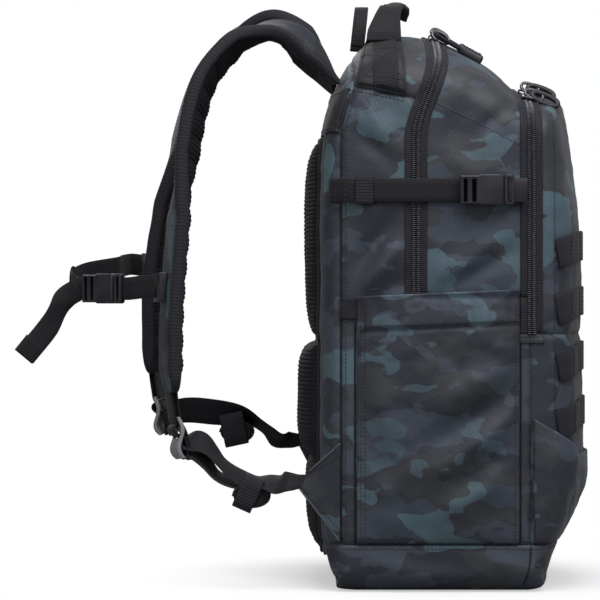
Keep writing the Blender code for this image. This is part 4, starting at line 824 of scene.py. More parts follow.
@dataclass
class Sewing:
    """Stitch lines, gathered for each body and made in one go."""

    lines: dict[tuple[str, str], list[Run]] = field(default_factory=dict)
    pitch: float = 0.0034
    size: Triple = (0.0026, 0.0008, 0.0007)

    def add(self, body: str, points: Any, outs: Any, thread: str = "thread") -> None:
        """Keep one line of stitches.

        Args:
            body: the body it moves with.
            points: the line, on the cloth.
            outs: directions away from the cloth.
            thread: which thread of the palette.
        """
        points = np.array(points, float)
        outs = np.broadcast_to(np.array(outs, float), points.shape)
        self.lines.setdefault((plain(body), thread), []).append((points, unit(outs)))

    def make(self, tree: LineTree, palette: Palette) -> None:
        """Make every stitch.

        Args:
            tree: the tree that sets pieces along lines.
            palette: where the threads are.
        """
        for (body, thread), lines in self.lines.items():
            name, finish = f"stitches_{body}_{thread}", getattr(palette, thread)
            dress(tree.along(name, lines, self.pitch, self.size, finish), body,
                  Slot.WEBBING if thread == "thread" else Slot.CAMO)


def eased(share: Any) -> Any:
    """A smooth step from 0 to 1."""
    share = np.clip(share, 0, 1)
    return share * share * (3 - 2 * share)


def unevenness(places: Any, octaves: int = 3, fall: float = 0.9, gap: float = 2.0) -> Array:
    """Smooth random lift of slack cloth, about -1 to 1.

    Args:
        places: ... x 3, already scaled to the size of the bumps.
        octaves: number of layers of bumps.
        fall: how fast the finer layers fade.
        gap: how much finer each layer is.
    Returns:
        One number for each place.
    """
    flat = [noise.fractal(Vector(place), fall, gap, octaves) for place in np.reshape(places, (-1, 3))]
    return np.array(flat).reshape(np.shape(places)[:-1])


@dataclass
class BodyForm:
    """The stuffed body before it is cut into panels, as a side outline carried across the width."""

    height: float = 0.482
    half_width: float = 0.148
    side_crown: float = 0.004
    edge_radius: float = 0.02
    dome_radius: float = 0.32
    dome_start: float = 0.3
    back_x: float = -0.098
    front_x: float = 0.131
    front_crown: float = 0.024
    base_back_x: float = -0.072
    base_front_x: float = 0.08
    heel: float = 0.056
    toe: float = 0.107
    top_back_x: float = -0.062
    top_front_x: float = 0.002
    lean_start: float = 0.372
    front_top_z: float = 0.43
    slope_foot_x: float = 0.072
    fold_z: float = 0.219
    middle: Pair = (0.012, 0.215)
    side_rings: tuple[float, ...] = (0.93, 0.85, 0.76, 0.66, 0.5, 0.3, 0.1)   # shares of the outline

    def outline(self, steps: int) -> Array:
        """Side outline.

        Args:
            steps: rows for each span between its main points.
        Returns:
            Rows of (x, z), closed.
        """
        back, front, toe, top = self.back_x, self.front_x, self.toe, self.front_top_z
        lean = self.height - self.lean_start
        points = [
            (self.base_back_x, 0.0), (back + 0.012, 0.16 * self.heel), (back + 0.003, 0.5 * self.heel),
            (back, self.heel), (back, 0.5 * (self.heel + self.lean_start)), (back, self.lean_start),
            (back + 0.008, self.lean_start + 0.48 * lean), (back + 0.019, self.lean_start + 0.74 * lean),
            (self.top_back_x, self.height - 0.008),
            (0.6 * self.top_back_x + 0.4 * self.top_front_x, self.height),
            (self.top_front_x, self.height - 0.003),
            (0.5 * (self.top_front_x + self.slope_foot_x) + 0.004, 0.5 * (self.height + top) + 0.003),
            (self.slope_foot_x, top + 0.003), (front - 0.038, top), (front - 0.021, top - 0.005),
            (front - 0.015, top - 0.02), (front - 0.008, top - 0.065), (front - 0.001, top - 0.125),
            (front, self.fold_z), (front + 0.001, toe + 0.03), (front, toe), (front - 0.014, 0.52 * toe),
            (0.5 * (front + self.base_front_x) - 0.004, 0.16 * toe), (self.base_front_x, 0.0)]
        rows = smooth_run(points, steps, closed=True)
        rows[:, 1] = np.maximum(rows[:, 1], 0.0)
        return rows

    def bowed(self, ring: Array, y: float) -> Array:
        """Drop the top and draw in the front of one slice, as the domed body does away from its middle."""
        share = min(abs(y) / self.half_width, 1.0)
        drop = self.dome_radius - math.sqrt(self.dome_radius ** 2 - (share * self.half_width) ** 2)
        x, z = ring.T
        high = np.clip((z - self.dome_start) / (self.height - self.dome_start), 0, None)
        ahead = self.front_crown * share ** 2 * eased((x - 0.5 * self.front_x) / (0.5 * self.front_x))
        return np.stack([x - ahead, np.full(len(x), y), z - high * drop], axis=1)

    def solid(self) -> Mesh:
        """The whole body as one closed form."""
        outline = self.outline(7)
        along = np.roll(outline, -1, axis=0) - np.roll(outline, 1, axis=0)
        outs = unit(np.stack([-along[:, 1], along[:, 0]], axis=1))
        flat = self.half_width - self.edge_radius
        slices = [(flat * s, 0.0, 1.0) for s in np.linspace(0, 1, 9)[:-1]]
        slices += [(flat + self.edge_radius * math.sin(a), self.edge_radius * (1 - math.cos(a)), 1.0)
                   for a in np.linspace(0, math.pi / 2, 9)]
        slices += [(self.half_width + self.side_crown * min(1.0, (1 - scale) / 0.4), self.edge_radius, scale)
                   for scale in self.side_rings]
        middle = np.array(self.middle)
        ray = unit(outline - middle)
        facing = np.clip((ray * outs).sum(axis=1), 0.62, 1.0)[:, None]
        rings = [self.bowed(middle + (outline - ray * (inset / facing) - middle) * scale, y)
                 for y, inset, scale in [(-y, i, s) for y, i, s in reversed(slices[1:])] + slices]
        return facing_out(mesh_object("body_form", np.vstack(rings), hoops(len(rings), len(outline)), []))


@dataclass
class Seams:
    """Lines where the panels meet, seen from the side."""

    base_z: float = 0.041
    back_x: float = -0.084
    back_bend_z: float = 0.395
    back_top_x: float = -0.074
    cap_back_z: float = 0.433
    cap_front_z: float = 0.419
    part_z: float = 0.25
    fold_z: float = 0.219
    zip_x: float = -0.0205
    zip_top_x: float = -0.001
    zip_bend: Pair = (0.385, 0.458)
    front_x: float = 0.0775
    panels: tuple[str, ...] = ("base_tub", "back_panel", "rear_top_cap", "side_panel_left",
                               "side_panel_right", "lid_gusset", "front_lid_panel", "lower_front_panel")

    def main_zip(self, z: Any) -> Any:
        """Where the main zip runs at a height."""
        low, high = self.zip_bend
        return self.zip_x + (self.zip_top_x - self.zip_x) * eased((np.asarray(z, float) - low) / (high - low))

    def front_zip(self, z: Any) -> Any:
        """Where the front zip runs at a height."""
        return np.full(np.shape(z), self.front_x)

    def cap(self, x: Any) -> Any:
        """Height of the seam under the rear top cap."""
        share = (x - self.back_x) / (self.zip_x - self.back_x)
        return self.cap_back_z + (self.cap_front_z - self.cap_back_z) * share

    def back(self, z: Any) -> Any:
        """Where the back panel's side seam runs at a height."""
        return np.interp(z, [self.back_bend_z, self.cap(self.back_top_x)], [self.back_x, self.back_top_x])

    def region(self, places: Array) -> Array:
        """Which panel each place belongs to, by its number in panels."""
        x, y, z = places.T
        mark = np.where(y < 0, 3, 4)
        rear = x < np.where(z >= self.part_z, self.main_zip(z), self.front_x)
        mark = np.where(rear & (z > self.cap(x)), 2, mark)
        mark = np.where(~rear, 5, mark)
        mark = np.where(x >= self.front_x, np.where(z >= self.fold_z, 6, 7), mark)
        mark = np.where(x < self.back(z), 1, mark)
        return np.where(z < self.base_z, 0, mark)

    def snapped(self, place: Array, marks: set[int]) -> Array:
        """Move a point on the border of panels onto their seam line.

        Args:
            place: the point.
            marks: numbers of the panels that meet there.
        Returns:
            The point on the seam.
        """
        x, y, z = place
        if 0 in marks:
            z = self.base_z
        if 1 in marks and len(marks - {0, 1}):
            x = float(self.back(z))
        if 2 in marks and marks & {3, 4}:
            z = float(self.cap(x))
        if 5 in marks and marks & {2, 3, 4}:
            if abs(x - self.main_zip(z)) < abs(z - self.part_z):
                x = float(self.main_zip(z))
            else:
                z = self.part_z
        if marks & {6, 7} and marks & {2, 3, 4, 5}:
            x = self.front_x
        if marks >= {6, 7}:
            z = self.fold_z
        return np.array([x, y, z])


@dataclass(frozen=True)
class Fold:
    """One crease or ridge of the cloth on a side, from one (x, z) to another, in metres."""

    x: float
    z: float
    end_x: float
    end_z: float
    width: float
    rise: float

    def lift(self, x: Array, z: Array) -> Array:
        """How far the fold lifts the cloth at places on the side."""
        long_x, long_z = self.end_x - self.x, self.end_z - self.z
        t = ((x - self.x) * long_x + (z - self.z) * long_z) / (long_x ** 2 + long_z ** 2)
        t = np.clip(t, 0, 1)
        away = np.hypot(x - self.x - t * long_x, z - self.z - t * long_z)
        return self.rise * np.sin(math.pi * (0.08 + 0.84 * t)) * np.exp(-(away / self.width) ** 2)


@dataclass
class Skin:
    """The body's cloth: fine even mesh with puckered seams and slack folds, cut into the panels."""

    form: BodyForm
    seams: Seams
    voxel: float
    wall: float = 0.0022
    strap_z: float = 0.341     # the compression straps hold the cloth flat here
    reach: float = 0.5         # rays start this far out, clear of the body,
    side_reach: float = 0.4    # or this far out at the sides
    folds: tuple[Fold, ...] = tuple(Fold(*row) for row in (
        (0.03, 0.392, 0.072, 0.418, 0.006, -0.0018), (0.026, 0.404, 0.064, 0.43, 0.008, 0.0008),
        (0.0, 0.376, 0.05, 0.332, 0.011, 0.0026), (0.004, 0.356, 0.044, 0.32, 0.008, -0.0026),
        (0.004, 0.266, 0.066, 0.312, 0.011, 0.004), (0.01, 0.258, 0.064, 0.292, 0.008, -0.004),
        (-0.07, 0.408, -0.026, 0.372, 0.01, 0.003), (-0.076, 0.392, -0.04, 0.366, 0.007, -0.003),
        (-0.08, 0.268, -0.034, 0.322, 0.009, -0.0056), (-0.068, 0.256, -0.026, 0.302, 0.009, 0.005),
        (-0.04, 0.254, -0.022, 0.274, 0.006, -0.0036), (-0.078, 0.322, -0.044, 0.334, 0.008, 0.003),
        (0.024, 0.444, 0.004, 0.402, 0.009, 0.0022), (-0.078, 0.24, -0.074, 0.14, 0.006, 0.0014),
        (-0.07, 0.034, -0.02, 0.012, 0.01, 0.0024), (-0.03, 0.032, 0.03, 0.02, 0.009, -0.002),
        (0.03, 0.036, 0.082, 0.014, 0.01, 0.0024)))

    def __post_init__(self) -> None:
        """Make the cloth's points, faces, outward directions and panel numbers."""
        item = self.form.solid()
        form = BVHTree.FromObject(item, bpy.context.evaluated_depsgraph_get())
        remesh = item.modifiers.new("even", "REMESH")
        remesh.mode = "VOXEL"
        remesh.voxel_size = self.voxel
        ease = item.modifiers.new("ease", "SMOOTH")
        ease.factor, ease.iterations = 0.5, 6
        mesh = applied(item).data
        faces = np.array([tuple(p.vertices) for p in mesh.polygons if len(p.vertices) == 4])
        verts = np.array([form.find_nearest(vert.co)[0] for vert in mesh.vertices])
        marks = self.seams.region(verts[faces].mean(axis=1))
        around: list[set[int]] = [set() for _ in verts]
        for face, mark in zip(faces, marks):
            for k in face:
                around[k].add(int(mark))
        border = [k for k, found in enumerate(around) if len(found) > 1]
        for _ in range(2):
            for k in border:
                verts[k] = self.seams.snapped(verts[k], around[k])
        near = kdtree.KDTree(len(border))
        for k in border:
            near.insert(Vector(verts[k]), k)
        near.balance()
        away = np.array([near.find(Vector(v))[2] for v in verts])
        outs = self.directions(verts, faces)
        verts = verts + outs * self.slack(verts, away, outs)[:, None]
        self.verts, self.faces, self.marks = verts, faces, marks
        self.outs = self.directions(verts, faces)
        self.tree = BVHTree.FromPolygons([tuple(v) for v in verts], [tuple(int(k) for k in f) for f in faces])
        bpy.data.objects.remove(item, do_unlink=True)

    @staticmethod
    def directions(verts: Array, faces: Array) -> Array:
        """Outward direction at each point of a quad mesh."""
        cross = np.cross(verts[faces[:, 2]] - verts[faces[:, 0]], verts[faces[:, 3]] - verts[faces[:, 1]])
        outs = np.zeros_like(verts)
        for corner in range(4):
            np.add.at(outs, faces[:, corner], cross)
        return unit(outs)

    def slack(self, verts: Array, away: Array, outs: Array) -> Array:
        """How far the cloth stands off the plain form.

        Args:
            verts: the points.
            away: distance of each from the nearest seam.
            outs: outward directions.
        Returns:
            A lift for each point.
        """
        x, y, z = verts.T
        free = 1 - np.exp(-(away / 0.012) ** 2)
        free = free * (1 - 0.75 * np.exp(-((z - self.strap_z) / 0.016) ** 2) * (np.abs(outs[:, 1]) > 0.6))
        broad = unevenness(verts * 19.0)
        crush = unevenness(np.stack([x * 34 + z * 20, y * 30, z * 62 - x * 30], axis=1), 3, 0.8, 2.1)
        lift = 0.0011 * (1 - np.exp(-(away / 0.02) ** 2)) + free * (0.0013 * broad + 0.0006 * crush)
        pucker = np.sin((x + 1.7 * y + 0.8 * z) * 2 * math.pi / 0.011) * np.exp(-(away / 0.007) ** 2)
        lift = lift - 0.0016 * np.exp(-(away / 0.0026) ** 2) + 0.00025 * pucker
        sideways = np.clip((np.abs(outs[:, 1]) - 0.3) / 0.4, 0, 1) * free
        for k, one in enumerate(self.folds):
            far = one.lift(x + 0.006 * math.sin(5.0 * k), z + 0.009 * math.cos(3.0 * k))
            lift = lift + sideways * np.where(y < 0, one.lift(x, z), 0.8 * far)
        return np.where(lift > 0, lift, lift * 0.9) * np.clip(z / 0.012, 0, 1)

    def cast(self, origin: Any, ray: Any) -> Run:
        """Meet the cloth from outside.

        Args:
            origin: a place outside the body.
            ray: the direction to look in.
        Returns:
            The place met and the outward direction there.
        """
        place, out, _, _ = self.tree.ray_cast(Vector(origin), Vector(ray).normalized())
        if place is None:
            place, out, _, _ = self.tree.find_nearest(Vector(origin))
        return np.array(place), np.array(out)

    def towards(self, middle: Any, ray: Array) -> Run:
        """Where a ray from the middle of the body comes out of the cloth, and the outward direction there."""
        return self.cast(np.array(middle) + ray * self.reach, -ray)

    def back(self, y: float, z: float) -> Run:
        """The cloth on the back at (y, z)."""
        return self.cast((-self.reach, y, z), AHEAD)

    def patch(self, spots: Any, side: int) -> Run:
        """The cloth on one side.

        Args:
            spots: ... x 2, the (x, z) spots.
            side: -1 left, 1 right.
        Returns:
            Places and outward directions, ... x 3.
        """
        spots = np.asarray(spots, float)
        y = side * self.side_reach
        met = np.array([self.cast((x, y, z), (0, -side, 0)) for x, z in spots.reshape(-1, 2)])
        return met[:, 0].reshape(*spots.shape[:-1], 3), met[:, 1].reshape(*spots.shape[:-1], 3)

    def line(self, corners: Any, side: int, lift: float = 0.0004) -> Run:
        """A line on one side through (x, z) corners.

        Args:
            corners: the line's corners.
            side: -1 left, 1 right.
            lift: how far it stands off the cloth.
        Returns:
            Places and outward directions, 3 mm apart.
        """
        rows = spaced(np.insert(np.array(corners, float), 1, 0.0, axis=1), 0.003)
        places, outs = self.patch(rows[:, ::2], side)
        return places + outs * lift, outs

    def level(self, z_at: Callable[[float], float], edge_x: float, count: int, way: int = 1) -> Run:
        """A line round the front or the back, from side to side.

        Args:
            z_at: its height at an angle from straight ahead.
            edge_x: where it ends on the sides.
            count: rays cast.
            way: 1 for the front, -1 for the back.
        Returns:
            Places and outward directions.
        """
        middle_x = 0.02 if way > 0 else -0.05
        met = [self.towards((middle_x, 0.0, z_at(a)), np.array([way * math.cos(a), math.sin(a), 0.0]))
               for a in np.linspace(-math.pi / 2, math.pi / 2, count)]
        kept = np.array([pair for pair in met if way * (pair[0][0] - edge_x) >= 0])
        return kept[:, 0], kept[:, 1]

    def arch(self, x_at: Callable[[Any], Any], low_z: float, offset: float, count: int) -> Run:
        """A line over the top from one side to the other, as the zips run.

        Args:
            x_at: where it runs at a height.
            low_z: height of its ends.
            offset: how far it is moved along X.
            count: number of places.
        Returns:
            Places and outward directions.
        """
        places, outs = [], []
        for angle in np.linspace(-math.pi / 2, math.pi / 2, count):
            ray = np.array([0.0, math.sin(angle), math.cos(angle)])
            z = low_z + 0.22 * math.cos(angle)
            for _ in range(4):
                place, out = self.towards((float(x_at(z)) + offset, 0.0, low_z), ray)
                z = place[2]
            places.append(place)
            outs.append(out)
        return np.array(places), self.evened(np.array(outs))

    @staticmethod
    def evened(outs: Array) -> Array:
        """Directions smoothed along a line."""
        for _ in range(3):
            outs[1:-1] = 0.25 * outs[:-2] + 0.5 * outs[1:-1] + 0.25 * outs[2:]
        return unit(outs)

    def panel(self, number: int, materials: Sequence[Material],
              kind: Callable[[Array], Array] | None = None) -> Mesh:
        """One panel: its outer cloth, its lining and the edge between them.

        Args:
            number: the panel's number.
            materials: cloth, lining and any further finish.
            kind: picks the material number from the outer faces' middles.
        Returns:
            The panel.
        """
        faces = self.faces[self.marks == number]
        used, flat = np.unique(faces, return_inverse=True)
        faces = flat.reshape(-1, 4)
        outer = self.verts[used]
        inner = outer - self.outs[used] * self.wall
        size = len(used)
        edges: dict[tuple[int, int], tuple[int, int]] = {}
        for face in faces:
            for a, b in zip(face, np.roll(face, -1)):
                key = (min(a, b), max(a, b))
                if edges.pop(key, None) is None:
                    edges[key] = (a, b)
        rim = [(b, a, a + size, b + size) for a, b in edges.values()]
        every = [tuple(f) for f in faces] + [tuple(k + size for k in f[::-1]) for f in faces] + rim
        marks = np.zeros(len(every), int)
        if kind is not None:
            marks[:len(faces)] = kind(outer[faces].mean(axis=1))
        marks[len(faces):2 * len(faces)] = 1
        return mesh_object(f"{self.seams.panels[number]}_cloth", np.vstack([outer, inner]), every, materials,
                           kinds=marks)


@dataclass
class Assembly:
    """What every sub-assembly is made with."""

    palette: Palette
    skin: Skin
    sewing: Sewing
    tree: LineTree

    def sew(self, body: Body, corners: Any, side: int, lift: float = 0.0004, thread: str = "thread") -> None:
        """Stitch along (x, z) corners on one side's cloth."""
        self.sewing.add(body, *self.skin.line(corners, side, lift), thread)

    def cover(self, name: str, spots: Array, side: int, over: float, under: float, material: Material,
              uv: Sequence[Array]) -> Mesh:
        """A sheet that lies on one side's cloth.

        Args:
            name: the piece's name.
            spots: rows x columns x 2, its (x, z) spots.
            side: -1 left, 1 right.
            over: how far its face stands off the cloth.
            under: how far it reaches into the cloth.
            material: its finish.
            uv: the grids of u and v, in metres.
        Returns:
            The piece.
        """
        base, outs = self.skin.patch(spots, side)
        return sheet_between(name, base + outs * over, base - outs * under, material, uv)


@dataclass
class BodyPanels(Assembly):
    """The sewn shell: eight panels, their top stitching, a pale cord on the back's edges that is a painted
    highlight, and the dividers inside.
    """

    stitch_in: float = 0.0042
    # The pale cord on the back's edges is a painted highlight where the rounded cloth catches the light.
    piping_radius: float = 0.0017
    piping_y: float = 0.124
    seam_radius: float = 0.0008
    back_cloth_half: float = 0.121
    back_cloth_top: float = 0.437
    cuts: dict[str, Triple] = field(default_factory=lambda: {
        "base_tub": (0.74, 0.2, 0.93), "back_panel": (0.2, 0.9, 0.1), "rear_top_cap": (0.62, 0.05, 0.33),
        "side_panel_left": (0.0, 0.0, 0.0), "side_panel_right": (0.4, 0.3, 0.0),
        "lid_gusset": (0.13, 0.41, 0.27), "front_lid_panel": (0.81, 0.37, 0.55),
        "lower_front_panel": (0.47, 0.71, 0.19)})

    def build(self) -> None:
        """Make the panels and what is sewn along them."""
        bodies = {"lid_gusset": Body.MAIN_LID, "front_lid_panel": Body.FRONT_LID}
        for number, name in enumerate(self.skin.seams.panels):
            materials = [self.palette.camouflage(name, self.cuts[name]), self.palette.lining]
            back = name == "back_panel"
            if back:
                materials.append(self.palette.black_cloth)
            item = self.skin.panel(number, materials, self.behind_pads if back else None)
            dress(item, bodies.get(name, Body.PACK), Slot.CAMO, name)
        self.stitching()
        self.seam_lines()
        self.piping()
        self.inside()

    def behind_pads(self, middles: Array) -> Array:
        """Black cloth behind the pads, camouflage at the corners."""
        _, y, z = middles.T
        return np.where((np.abs(y) < self.back_cloth_half) & (z < self.back_cloth_top), 2, 0)

    def stitching(self) -> None:
        """Top stitching beside the seams."""
        seams, step = self.skin.seams, self.stitch_in
        low = seams.base_z - step
        for side, _ in SIDES:
            self.sew(Body.PACK, [(seams.back(z) + step, z) for z in np.linspace(0.048, 0.425, 60)], side)
            self.sew(Body.PACK, [(seams.back_x + 0.002, low), (0.105, low)], side)
            self.sew(Body.PACK, [(x, seams.cap(x) - step) for x in (-0.076, -0.032)], side)
            self.sew(Body.MAIN_LID, [(-0.006, 0.417), (0.028, 0.401), (0.066, 0.381)], side,
                     thread="pale_thread")
            self.sew(Body.FRONT_LID, [(0.0975, 0.226), (0.0975, 0.4)], side)
            self.sew(Body.PACK, [(0.0975, 0.048), (0.0975, 0.213)], side)

    def seam_lines(self) -> None:
        """The dark line of each closed seam on the sides."""
        seams = self.skin.seams
        runs = ([(seams.back(z), z) for z in np.linspace(0.044, 0.424, 80)],
                [(seams.back_x, seams.base_z), (0.118, seams.base_z)],
                [(0.0684, 0.043), (0.0684, 0.256)], [(-0.0722, 0.043), (-0.0722, 0.228)],
                [(0.0775, 0.039), (0.076, 0.022), (0.0715, 0.006)])
        parts = [tube("seam", self.skin.line(run, side, 0.0002)[0], self.seam_radius, self.palette.seam, 6)
                 for side, _ in SIDES for run in runs]
        dress(joined("seam_lines", parts), Body.PACK, Slot.CAMO)

    def piping(self) -> None:
        """A pale grey cord along both upright edges of the back: a painted highlight where the rounded edge
        of the cloth catches the light.
        """
        cord = []
        for side, tag in SIDES:
            met = [self.skin.back(side * self.piping_y, z) for z in np.linspace(0.03, 0.436, 110)]
            line = np.array([place + out * 0.0006 for place, out in met])
            cord.append(tube(f"cord_{tag}", line, self.piping_radius, self.palette.piping))
        dress(joined("back_highlight_cord", cord), Body.PACK, Slot.CAMO)

    def inside(self) -> None:
        """The cloth dividers behind the zips and the board in the back."""
        for node, body in (("lower_divider", Body.PACK), ("lid_divider", Body.MAIN_LID)):
            bm = merged(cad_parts[node].data, MERGE)
            bmesh.ops.subdivide_edges(bm, edges=bm.edges[:], cuts=4, use_grid_fill=True)
            for vert in bm.verts:
                vert.co.x += 0.0004 * noise.noise(Vector((0.0, vert.co.y * 24, vert.co.z * 24)))
            dress(from_bmesh(f"{node}_cloth", bm, [self.palette.lining]), body, Slot.LINING, node)
        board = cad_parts["frame_sheet"]
        board.data.materials.clear()
        board.data.materials.append(self.palette.board)


@dataclass
class ZipLine(Assembly):
    """One zip over the top: two tapes, two rows of coil and the sewn ends."""

    name: str
    bodies: tuple[Body, Body]
    nodes: tuple[str, str]
    x_at: Callable[[Any], Any]
    front_low: float = 0.2504
    low_z: float = 0.2504
    rows: int = 200
    offsets: tuple[float, ...] = (0.0004, 0.0022, 0.0045, 0.007, 0.0088, 0.0095)   # across a tape
    heights: tuple[float, ...] = (1.0, 1.0, 0.95, 0.95, 1.1, 0.6)                  # in tape thicknesses
    foot_offsets: tuple[float, ...] = (0.0004, 0.003, 0.006, 0.0088, 0.0095)
    tape_lift: float = 0.0004
    tape_thickness: float = 0.0011
    tape_under: float = 0.0006
    stitch: float = 0.0079
    coil_pitch: float = 0.0017
    coil_size: Triple = (0.00105, 0.005, 0.003)
    coil_in: float = 0.0023
    coil_lift: float = 0.0018
    end_half: float = 0.011
    end_seam: float = 0.002

    def build(self) -> None:
        """Make the zip."""
        for sign, body, node, low_z in zip((-1, 1), self.bodies, self.nodes, (self.low_z, self.front_low)):
            lines = [self.skin.arch(self.x_at, low_z, sign * offset, self.rows) for offset in self.offsets]
            base, outs = (np.stack([line[k] for line in lines]) for k in (0, 1))
            across = np.repeat(np.array(self.offsets)[:, None], self.rows, axis=1)
            run = np.stack([arc(row) for row in base])
            high = (self.tape_lift + self.tape_thickness * np.array(self.heights))[:, None, None]
            tape = sheet_between(f"{node}_cloth", base + outs * high, base - outs * self.tape_under,
                                 self.palette.tape, (across, run))
            dress(tape, body, Slot.WEBBING, node)
            turns = self.turns(*self.skin.arch(self.x_at, low_z, sign * self.coil_in, self.rows), sign > 0)
            self.coil(f"{node}_coil", [turns], body)
            places, outs = self.skin.arch(self.x_at, low_z, sign * self.stitch, self.rows)
            self.sewing.add(body, places + outs * 0.0016, outs)
        if self.front_low < self.low_z:
            self.foot()
        self.ends()

    def turns(self, places: Array, outs: Array, between: bool = False) -> Run:
        """Where the coil's turns stand on a line, or between those of the other row, and their directions."""
        line = spaced(np.hstack([places, outs]), self.coil_pitch)
        if between:
            line = line[:-1] + 0.5 * np.diff(line, axis=0)
        outs = unit(line[:, 3:])
        return line[:, :3] + outs * self.coil_lift, outs

    def coil(self, name: str, lines: Sequence[Run], body: Body) -> None:
        """Set the coil's turns along lines."""
        turns = self.tree.along(name, lines, self.coil_pitch, self.coil_size, self.palette.coil)
        dress(turns, body, Slot.METAL)

    def foot(self) -> None:
        """The fixed length of rear tape and coil where the zip runs on below the main lid."""
        heights = np.linspace(self.front_low, self.low_z - 0.0006, 26)
        high, offset = np.meshgrid(heights, self.foot_offsets)
        spots = np.stack([self.x_at(high) - offset, high], axis=-1)
        line = np.stack([self.x_at(heights) - self.coil_in, heights], axis=-1)
        tapes = [self.cover("tape", spots, side, self.tape_lift + self.tape_thickness, self.tape_under,
                            self.palette.tape, (offset, high)) for side, _ in SIDES]
        dress(joined(f"{self.name}_zip_foot", tapes), Body.PACK, Slot.WEBBING)
        lines = [self.turns(*self.skin.patch(line, side)) for side, _ in SIDES]
        self.coil(f"{self.name}_zip_foot_coil", lines, Body.PACK)

    def ends(self) -> None:
        """Cloth squares sewn over the zip's two lower ends."""
        cloth = self.palette.camouflage("zip_ends", (0.5, 0.2, 0.8))
        middle = float(self.x_at(self.front_low))
        rear, front = middle - self.end_half, middle + self.end_half
        low, high = self.front_low - 0.008, self.front_low - 0.0006
        x, z = np.meshgrid(np.linspace(rear, front, 14), np.linspace(low, high, 10))
        near, far = rear + self.end_seam, front - self.end_seam
        low, high = low + self.end_seam, high - self.end_seam
        parts = []
        for side, _ in SIDES:
            parts.append(self.cover("square", np.stack([x, z], axis=-1), side, 0.0013, 0.0004, cloth, (x, z)))
            self.sew(Body.PACK, [(near, low), (far, low), (far, high), (near, high), (near, low)], side,
                     0.0016)
        dress(joined(f"{self.name}_zip_ends", parts), Body.PACK, Slot.CAMO)


@dataclass
class SidePocket(Assembly):
    """A slack open pocket on one side: wide hem, drape folds and a rear elastic tab."""

    side: int
    tag: str
    back_x: float = -0.0705
    front_x: float = 0.0668
    low_z: float = 0.0414
    top_back: float = 0.251
    top_front: float = 0.257
    bulge: float = 0.016
    wall: float = 0.0018
    hem: float = 0.0285
    gather_pitch: float = 0.0125
    grid: tuple[int, int] = (84, 124)
    tab_back: float = -0.085
    tab_z: Pair = (0.2315, 0.25)
    folds: tuple[Fold, ...] = tuple(Fold(*row) for row in (
        (0.068, 0.2, 0.0, 0.158, 0.013, 0.0044), (0.068, 0.176, -0.02, 0.12, 0.013, -0.0066),
        (0.066, 0.152, -0.01, 0.1, 0.011, 0.006), (0.058, 0.122, 0.006, 0.086, 0.01, -0.0036),
        (0.054, 0.1, -0.008, 0.058, 0.011, 0.0034), (-0.064, 0.206, -0.044, 0.13, 0.01, 0.002),
        (-0.06, 0.15, -0.034, 0.07, 0.01, -0.0018), (-0.02, 0.118, -0.056, 0.072, 0.011, 0.0026),
        (0.03, 0.216, 0.064, 0.206, 0.009, 0.0022), (-0.046, 0.19, 0.0, 0.206, 0.008, -0.0016)))

    def build(self) -> None:
        """Make the pocket, its stitches and its tab."""
        u, v = np.meshgrid(*(np.linspace(-1, 1, count) for count in self.grid))
        along, up = (u + 1) / 2, (v + 1) / 2
        tops = self.top_back + along * (self.top_front - self.top_back)
        x, z = self.back_x + along * (self.front_x - self.back_x), self.low_z + up * (tops - self.low_z)
        base = self.skin.patch(np.stack([x, z], axis=-1), self.side)[0]
        x, z = base[..., 0], base[..., 2]
        swell = (1 - np.abs(u) ** 2.6) * np.sin(0.5 * math.pi * np.minimum(1, 0.62 * (v + 1)))
        below = tops - z
        pinned = np.clip((1 - np.abs(u)) / 0.1, 0, 1) * np.clip((v + 1) / 0.1, 0, 1)
        moved = 0.0 if self.side < 0 else 0.006
        drape = sum(one.lift(x + moved, z + moved) for one in self.folds)
        soft = unevenness(np.stack([x * 26, np.full_like(x, self.side * 4.0), z * 26], axis=-1))
        in_hem = np.clip((self.hem - below) / 0.0016, 0, 1)
        lift = (drape * (1 - 0.7 * in_hem) + 0.0013 * soft) * pinned
        gather = 0.0005 * np.sin(x * 2 * math.pi / self.gather_pitch + 2.2 * np.sin(x * 60))
        lift += in_hem * (0.0013 + gather * np.clip(below / 0.004, 0, 1) * pinned)
        lift -= 0.0014 * np.exp(-((below - self.hem - 0.0014) / 0.0018) ** 2)
        lift += 0.0007 * np.exp(-(below / 0.0022) ** 2)
        away = np.maximum(0.0009 + self.bulge * swell + lift, 0.0005)
        inner = base + ACROSS * (self.side * away)[..., None]
        outer = inner + ACROSS * self.side * self.wall
        cloth = self.palette.camouflage(f"side_pocket_{self.tag}", (0.55, 0.66 + self.side * 0.2, 0.72))
        pocket = sheet_between(f"side_pocket_{self.tag}_cloth", outer, inner, cloth)
        dress(pocket, Body.PACK, Slot.CAMO, f"side_pocket_{self.tag}")
        row = int(np.argmin(np.abs(below[:, below.shape[1] // 2] - self.hem + 0.002)))
        for line in (outer[row], *(outer[2:-2, column] for column in (2, 4, -3))):
            self.sewing.add(Body.PACK, line + ACROSS * self.side * 0.0002, ACROSS * self.side)
        x, z = np.meshgrid(np.linspace(self.tab_back, self.back_x + 0.0015, 12), np.linspace(*self.tab_z, 12))
        tab = self.cover(f"pocket_tab_{self.tag}", np.stack([x, z], axis=-1), self.side, 0.0022, 0.0004,
                         self.palette.elastic, (z, x))
        dress(tab, Body.PACK, Slot.WEBBING)


